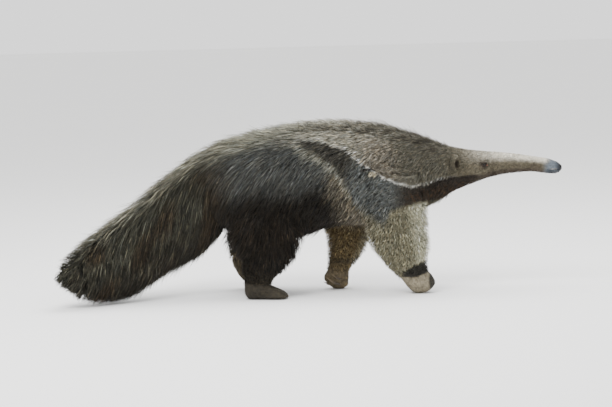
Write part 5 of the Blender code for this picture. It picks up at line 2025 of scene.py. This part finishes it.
@dataclass
class Coat:
    """The coat, grown piece by piece from roots on the skin."""

    body: Body
    markings: Markings
    lie: Lie
    points: Array
    faces: Array
    draw: np.random.Generator
    room: tuple[Array, Array]
    habit: Habit = field(default_factory=Habit)
    speckle: Speckle = field(default_factory=Speckle)

    def __post_init__(self) -> None:
        """Works out the middle, the size and the form of each face of the skin."""
        corner = self.points[self.faces]
        self.middle = corner.mean(axis=1)
        one, two = corner[:, 2] - corner[:, 0], corner[:, 3] - corner[:, 1]
        self.area = 0.5 * np.linalg.norm(np.cross(one, two), axis=1)
        near = np.stack([form.near(self.middle) for form in self.body.forms.values()])
        self.form = np.array(list(self.body.forms))[np.argmin(near, axis=0)]

    def roots(self, growth: Growth) -> tuple[Array, Array]:
        """Random places on the faces of a growth's forms inside its box, and the unwrap of each.

        A face is drawn by its area and a place on it by two random shares of its edges.
        """
        low_x, high_x, low_z, high_z = growth.box
        x, y, z = self.middle.T
        own = np.isin(self.form, growth.forms) & np.isin(np.where(y < 0, -1, 1), growth.sides)
        own &= (x >= low_x) & (x < high_x) & (z >= low_z) & (z < high_z)
        own = np.flatnonzero(own)
        running = np.cumsum(self.area[own])
        pick = np.searchsorted(running, self.draw.random(growth.count) * running[-1])
        face = own[np.minimum(pick, len(own) - 1)]
        corner = self.points[self.faces[face]]
        u, v = self.draw.random((2, growth.count, 1))
        low = corner[:, 0] * (1 - u) + corner[:, 1] * u
        high = corner[:, 3] * (1 - u) + corner[:, 2] * u
        root = low * (1 - v) + high * v
        place = np.empty((growth.count, 2))
        for name in growth.forms:
            some = self.form[face] == name
            form = self.body.forms[name]
            place[some] = form.unwrap(*form.turn_of(root[some]))
        return root, place

    def grow(self, growth: Growth) -> Tufts:
        """The tufts of one piece.

        A tuft starts just under the skin. At each station it moves a step along the lie and is set at a
        height over the skin that rises to the coat's depth as 1 - (1 - t)^2, with gentle swells in its
        course. Tufts whose path strays too far from the root or leaves the room are left out.
        """
        draw, habit = self.draw, self.habit
        root, place = self.roots(growth)
        count = len(root)
        lie, length = self.lie.flow(root)
        depth = self.lie.depth(root)
        swell = habit.swell * ripple(root, habit.swell_size, habit.swell_seed)
        vary = np.clip(1 + growth.vary * draw.normal(size=count) + swell, *habit.length)
        length = length * growth.length * vary
        stray = draw.random(count) < growth.stray
        reach = growth.reach * (habit.reach - habit.reach_drop * draw.random(count) ** habit.reach_power)
        reach = reach * np.where(stray, draw.uniform(*habit.stray_reach, count), 1)
        rise = depth * reach + growth.lift * draw.random(count) ** 2 * np.where(stray, habit.stray_lift, 1.0)
        rise = np.minimum(rise, habit.steepest * length)
        out = self.body.slope(root)
        sway = habit.sway * ripple(root, habit.sway_size, habit.sway_seed)
        turn = np.radians(growth.swerve * (sway + habit.scatter * draw.normal(size=count)))
        stations = [root - out * habit.root_depth]
        t = np.linspace(0, 1, habit.stations)
        run = np.sqrt(np.maximum(length**2 - rise**2, habit.least_run * length**2))
        step = run / (habit.stations - 1)
        point = root
        side = out
        for share in t[1:]:
            flat = unit(lie - side * np.sum(lie * side, axis=1, keepdims=True))
            across = np.cross(side, flat)
            way = flat * np.cos(turn)[:, None] + across * np.sin(turn)[:, None]
            point = point + way * step[:, None]
            point, side = self.body.lifted(point, rise * (1 - (1 - share) ** 2), habit.sink * step)
            stations.append(point)
        paths = np.stack(stations, axis=1)
        far = np.linalg.norm(paths - root[:, None], axis=2).max(axis=1)
        sound = far < habit.longest_path * length + habit.path_spare
        sound &= np.all((paths > self.room[0]) & (paths < self.room[1]), axis=(1, 2))
        paths, out, place = paths[sound], out[sound], place[sound]
        count = len(paths)
        if growth.wave:
            phase = draw.uniform(0, 2 * math.pi, (count, 1))
            curl = np.sin(habit.curl * t[None, :] + phase) * t[None, :] ** habit.curl_power
            paths = paths + growth.wave * curl[..., None] * unit(draw.normal(size=(count, 1, 3)))
        if growth.clump:
            paths = self.gather(paths, growth.clump, growth.pull * t**habit.pull_power)
        paths[..., 2] = np.maximum(paths[..., 2], habit.floor)
        width = growth.width * draw.uniform(*habit.width, count)
        return Tufts(paths, out, width, self.tints(paths[:, -2]), place, growth.tone)

    def gather(self, paths: Array, size: float, pull: Array) -> Array:
        """Draws the tufts rooted in one cell of space together towards their mean path, most at the tips."""
        habit = self.habit
        fields = (ripple(paths[:, 0], habit.warp_size * size, habit.warp_seed + i) for i in range(3))
        warp = habit.warp * size * np.stack(list(fields), axis=1)
        cell = np.floor((paths[:, 0] + warp) / size).astype(np.int64)
        _, group = np.unique(cell, axis=0, return_inverse=True)
        group = group.ravel()
        members = np.bincount(group)
        flat = paths.reshape(len(paths), -1)
        mean = np.stack([np.bincount(group, column) for column in flat.T], axis=1) / members[:, None]
        mean = mean.reshape(-1, *paths.shape[1:])[group]
        strength = pull[None, :] * self.draw.uniform(*habit.pull, (len(paths), 1))
        return blend(paths, mean, strength)

    def tints(self, points: Array) -> Array:
        """The marking's colour, lighter and darker from tuft to tuft, with scattered pale and dark ones."""
        draw, speckle = self.draw, self.speckle
        count = len(points)
        strength = self.markings.grizzle(points)
        colour = self.markings.paint(points + draw.normal(size=(count, 3)) * speckle.scatter)
        light = np.exp(speckle.light * strength * draw.normal(size=count))
        kind = draw.random(count)
        on_tail = fade(points[:, 0], *speckle.tail_x)
        dark, pale = (body * strength + tail * on_tail for body, tail in (speckle.dark, speckle.pale))
        light = light * np.where(kind < dark, speckle.dark_light, 1.0)
        light = light * np.where(kind > 1 - pale, speckle.pale_light, 1.0)
        warm = 1 + speckle.warm * draw.normal(size=(count, 1)) * np.array(speckle.warmth)
        return np.clip(colour * light[:, None] * warm, *speckle.limits)

    def build(self, growths: tuple[Growth, ...], finish: FurFinish) -> list[bpy.types.Object]:
        """Every piece of the coat."""
        material = finish.material()
        made = []
        for growth in growths:
            points, faces, colours, corners = self.grow(growth).mesh()
            obj = make_object(growth.piece, points, faces, material)
            set_tint(obj, colours)
            set_unwrap(obj, corners)
            made.append(obj)
        return made


TRUNK_ONLY = ("trunk",)
TAIL_ONLY = ("tail",)
REAR = (-1.0, 0.0, 0.0, 1.0)
FRONT = (0.0, 1.0, 0.0, 1.0)
LONG = {"clump": 0.0095, "pull": 0.50}
EAR_FUR = {"length": 1.25, "lift": 0.004, "stray": 0.4, "vary": 0.4}
THROAT_FUR = {"lift": 0.008, "stray": 0.5, "vary": 0.4}
MANE_FUR = {"length": 1.15, "lift": 0.016, "stray": 0.6, "vary": 0.4}
NECK_FUR = {"lift": 0.008, "stray": 0.25, "vary": 0.3}
BACK_FUR = {"reach": 1.1, "lift": 0.014, "stray": 0.2, **LONG}
BELLY_FUR = {"reach": 1.2, "stray": 0.25, "vary": 0.35, **LONG}
RUMP_FUR = {"lift": 0.012, "stray": 0.2, **LONG}
TAIL_FUR = {"lift": 0.018, "stray": 0.2, **LONG}
LEG_FUR = {"lift": 0.010, "stray": 0.25, "vary": 0.35, **LONG}
WOOL = {
    "wave": 0.0040,
    "lift": 0.0100,
    "clump": 0.007,
    "pull": 0.40,
    "stray": 0.35,
    "vary": 0.35,
    "swerve": 24.0,
    "length": 0.70,
    "reach": 1.35,
}
FACE, GRIZZLED, DARK, PALE = Slot.FACE, Slot.GRIZZLED, Slot.DARK, Slot.PALE
GROWTHS = (
    Growth("coat_head", FACE, TRUNK_ONLY, (0.50, 0.90, 0.0, 1.0), 14000, 0.0012, lift=0.0012),
    Growth("coat_ears", FACE, TRUNK_ONLY, (0.502, 0.548, 0.435, 0.494), 1500, 0.0010, **EAR_FUR),
    Growth("coat_throat", DARK, TRUNK_ONLY, (0.33, 0.51, 0.0, 0.370), 1600, 0.0022, **THROAT_FUR),
    Growth("coat_mane", GRIZZLED, TRUNK_ONLY, (0.24, 0.48, 0.530, 1.0), 1800, 0.0017, **MANE_FUR),
    Growth("coat_neck", GRIZZLED, TRUNK_ONLY, (0.33, 0.50, 0.0, 1.0), 12500, 0.0019, **NECK_FUR),
    Growth("coat_back", GRIZZLED, TRUNK_ONLY, (0.05, 0.33, 0.375, 1.0), 13500, 0.0025, **BACK_FUR),
    Growth("coat_belly", DARK, TRUNK_ONLY, (-0.20, 0.33, 0.0, 0.375), 10500, 0.0032, **BELLY_FUR),
    Growth("coat_rump", GRIZZLED, TRUNK_ONLY, (-0.385, 0.05, 0.375, 1.0), 18000, 0.0023, **RUMP_FUR),
    Growth("coat_haunch", DARK, TRUNK_ONLY, (-0.385, -0.20, 0.0, 0.375), 3500, 0.0032, **LONG),
    Growth("coat_tail_right", DARK, TAIL_ONLY, REAR, 19000, 0.0025, sides=(-1,), **TAIL_FUR),
    Growth("coat_tail_left", DARK, TAIL_ONLY, REAR, 16500, 0.0026, sides=(1,), **TAIL_FUR),
    Growth("coat_foreleg_right", PALE, ("foreleg_right",), FRONT, 10500, 0.0019, **WOOL),
    Growth("coat_foreleg_left", PALE, ("foreleg_left",), FRONT, 8000, 0.0020, **WOOL),
    Growth("coat_hindleg_right", DARK, ("hindleg_right",), REAR, 9000, 0.0030, **LEG_FUR),
    Growth("coat_hindleg_left", DARK, ("hindleg_left",), REAR, 7000, 0.0031, **LEG_FUR),
    Growth("coat_feet", PALE, tuple(FEET), (-1.0, 1.0, 0.004, 1.0), 5500, 0.0012),
)


@dataclass
class Studio:
    """A pale floor, soft lights and the camera at the photograph's angle."""

    image_width: int = 612
    pixel: float = 0.0036
    aim: Point = (-0.0138, SPINE_Y, 0.3236)
    distance: float = 7.5
    elevation: float = math.radians(6.0)
    roll: float = math.radians(-1.5)
    sensor: float = 36.0
    clip_end: float = 100.0
    floor_half: float = 30.0
    world_strength: float = 1.6
    lamps: tuple = (("key", (-1.2, -2.4, 3.6), 2.0, 190.0), ("top", (0.4, 0.8, 3.8), 2.6, 150.0))

    def camera(self) -> bpy.types.Object:
        """The camera: it looks at the aim from the right flank, and its lens spans the image's real width."""
        data = bpy.data.cameras.new("camera")
        data.sensor_width = self.sensor
        data.lens = self.sensor * self.distance / (self.image_width * self.pixel)
        data.clip_end = self.clip_end
        obj = bpy.data.objects.new("camera", data)
        bpy.context.scene.collection.objects.link(obj)
        back = Vector((0.0, -math.cos(self.elevation), math.sin(self.elevation)))
        turn = (-back).to_track_quat("-Z", "Y").to_matrix() @ Matrix.Rotation(self.roll, 3, "Z")
        obj.matrix_world = Matrix.Translation(Vector(self.aim) + back * self.distance) @ turn.to_4x4()
        bpy.context.scene.camera = obj
        return obj

    def light(self, name: str, place: tuple, size: float, power: float) -> None:
        """A square soft light that faces the middle of the animal."""
        data = bpy.data.lights.new(name, "AREA")
        data.shape = "SQUARE"
        data.size = size
        data.energy = power
        obj = bpy.data.objects.new(name, data)
        bpy.context.scene.collection.objects.link(obj)
        toward = Vector(self.aim) - Vector(place)
        obj.matrix_world = Matrix.Translation(place) @ toward.to_track_quat("-Z", "Y").to_matrix().to_4x4()

    def build(self) -> None:
        """Floor, world, lights and camera."""
        half = self.floor_half
        points = np.array([[-half, -half, 0], [half, -half, 0], [half, half, 0], [-half, half, 0]])
        floor = make_object("floor", points, np.array([[0, 1, 2, 3]]), FloorFinish().material())
        floor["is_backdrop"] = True
        world = bpy.data.worlds.new("soft_box")
        world.use_nodes = True
        background = world.node_tree.nodes["Background"]
        background.inputs["Color"].default_value = (1.0, 1.0, 1.0, 1.0)
        background.inputs["Strength"].default_value = self.world_strength
        bpy.context.scene.world = world
        for lamp in self.lamps:
            self.light(*lamp)
        self.camera()


PAIRED_FLESH = ("ear", "foreleg", "forefoot", "hindleg", "hindfoot")
PAIRS = tuple(f"{part}_{side.name.lower()}" for side in Side for part in PAIRED_FLESH)
FLESH = ("head", "neck", "torso", "tail", *PAIRS)


def ride(obj: bpy.types.Object) -> None:
    """Ties a piece to the one body."""
    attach(obj, "root")


def main() -> None:
    """Builds the skin, eyes, ears, claws, coat and studio in order."""
    logging.basicConfig(level=logging.INFO, format="%(message)s", stream=sys.stdout)
    low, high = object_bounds()
    body = Body()
    markings = Markings(body)
    skin, points, faces = Skin(body, markings).build(SkinFinish())
    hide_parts(*FLESH)
    ride(skin)
    Eyes(body.head).build(EyeFinish())
    Claws().build(ClawFinish())
    middle = (0.0, SPINE_Y, 0.0)
    room = (np.array(low) - ROOM - middle, np.array(high) + ROOM - middle)
    coat = Coat(body, markings, Lie(body), points, faces, np.random.default_rng(SEED), room)
    for obj, growth in zip(coat.build(GROWTHS, FurFinish()), GROWTHS):
        ride(obj)
    Studio().build()


if __name__ == "__main__":
    main()
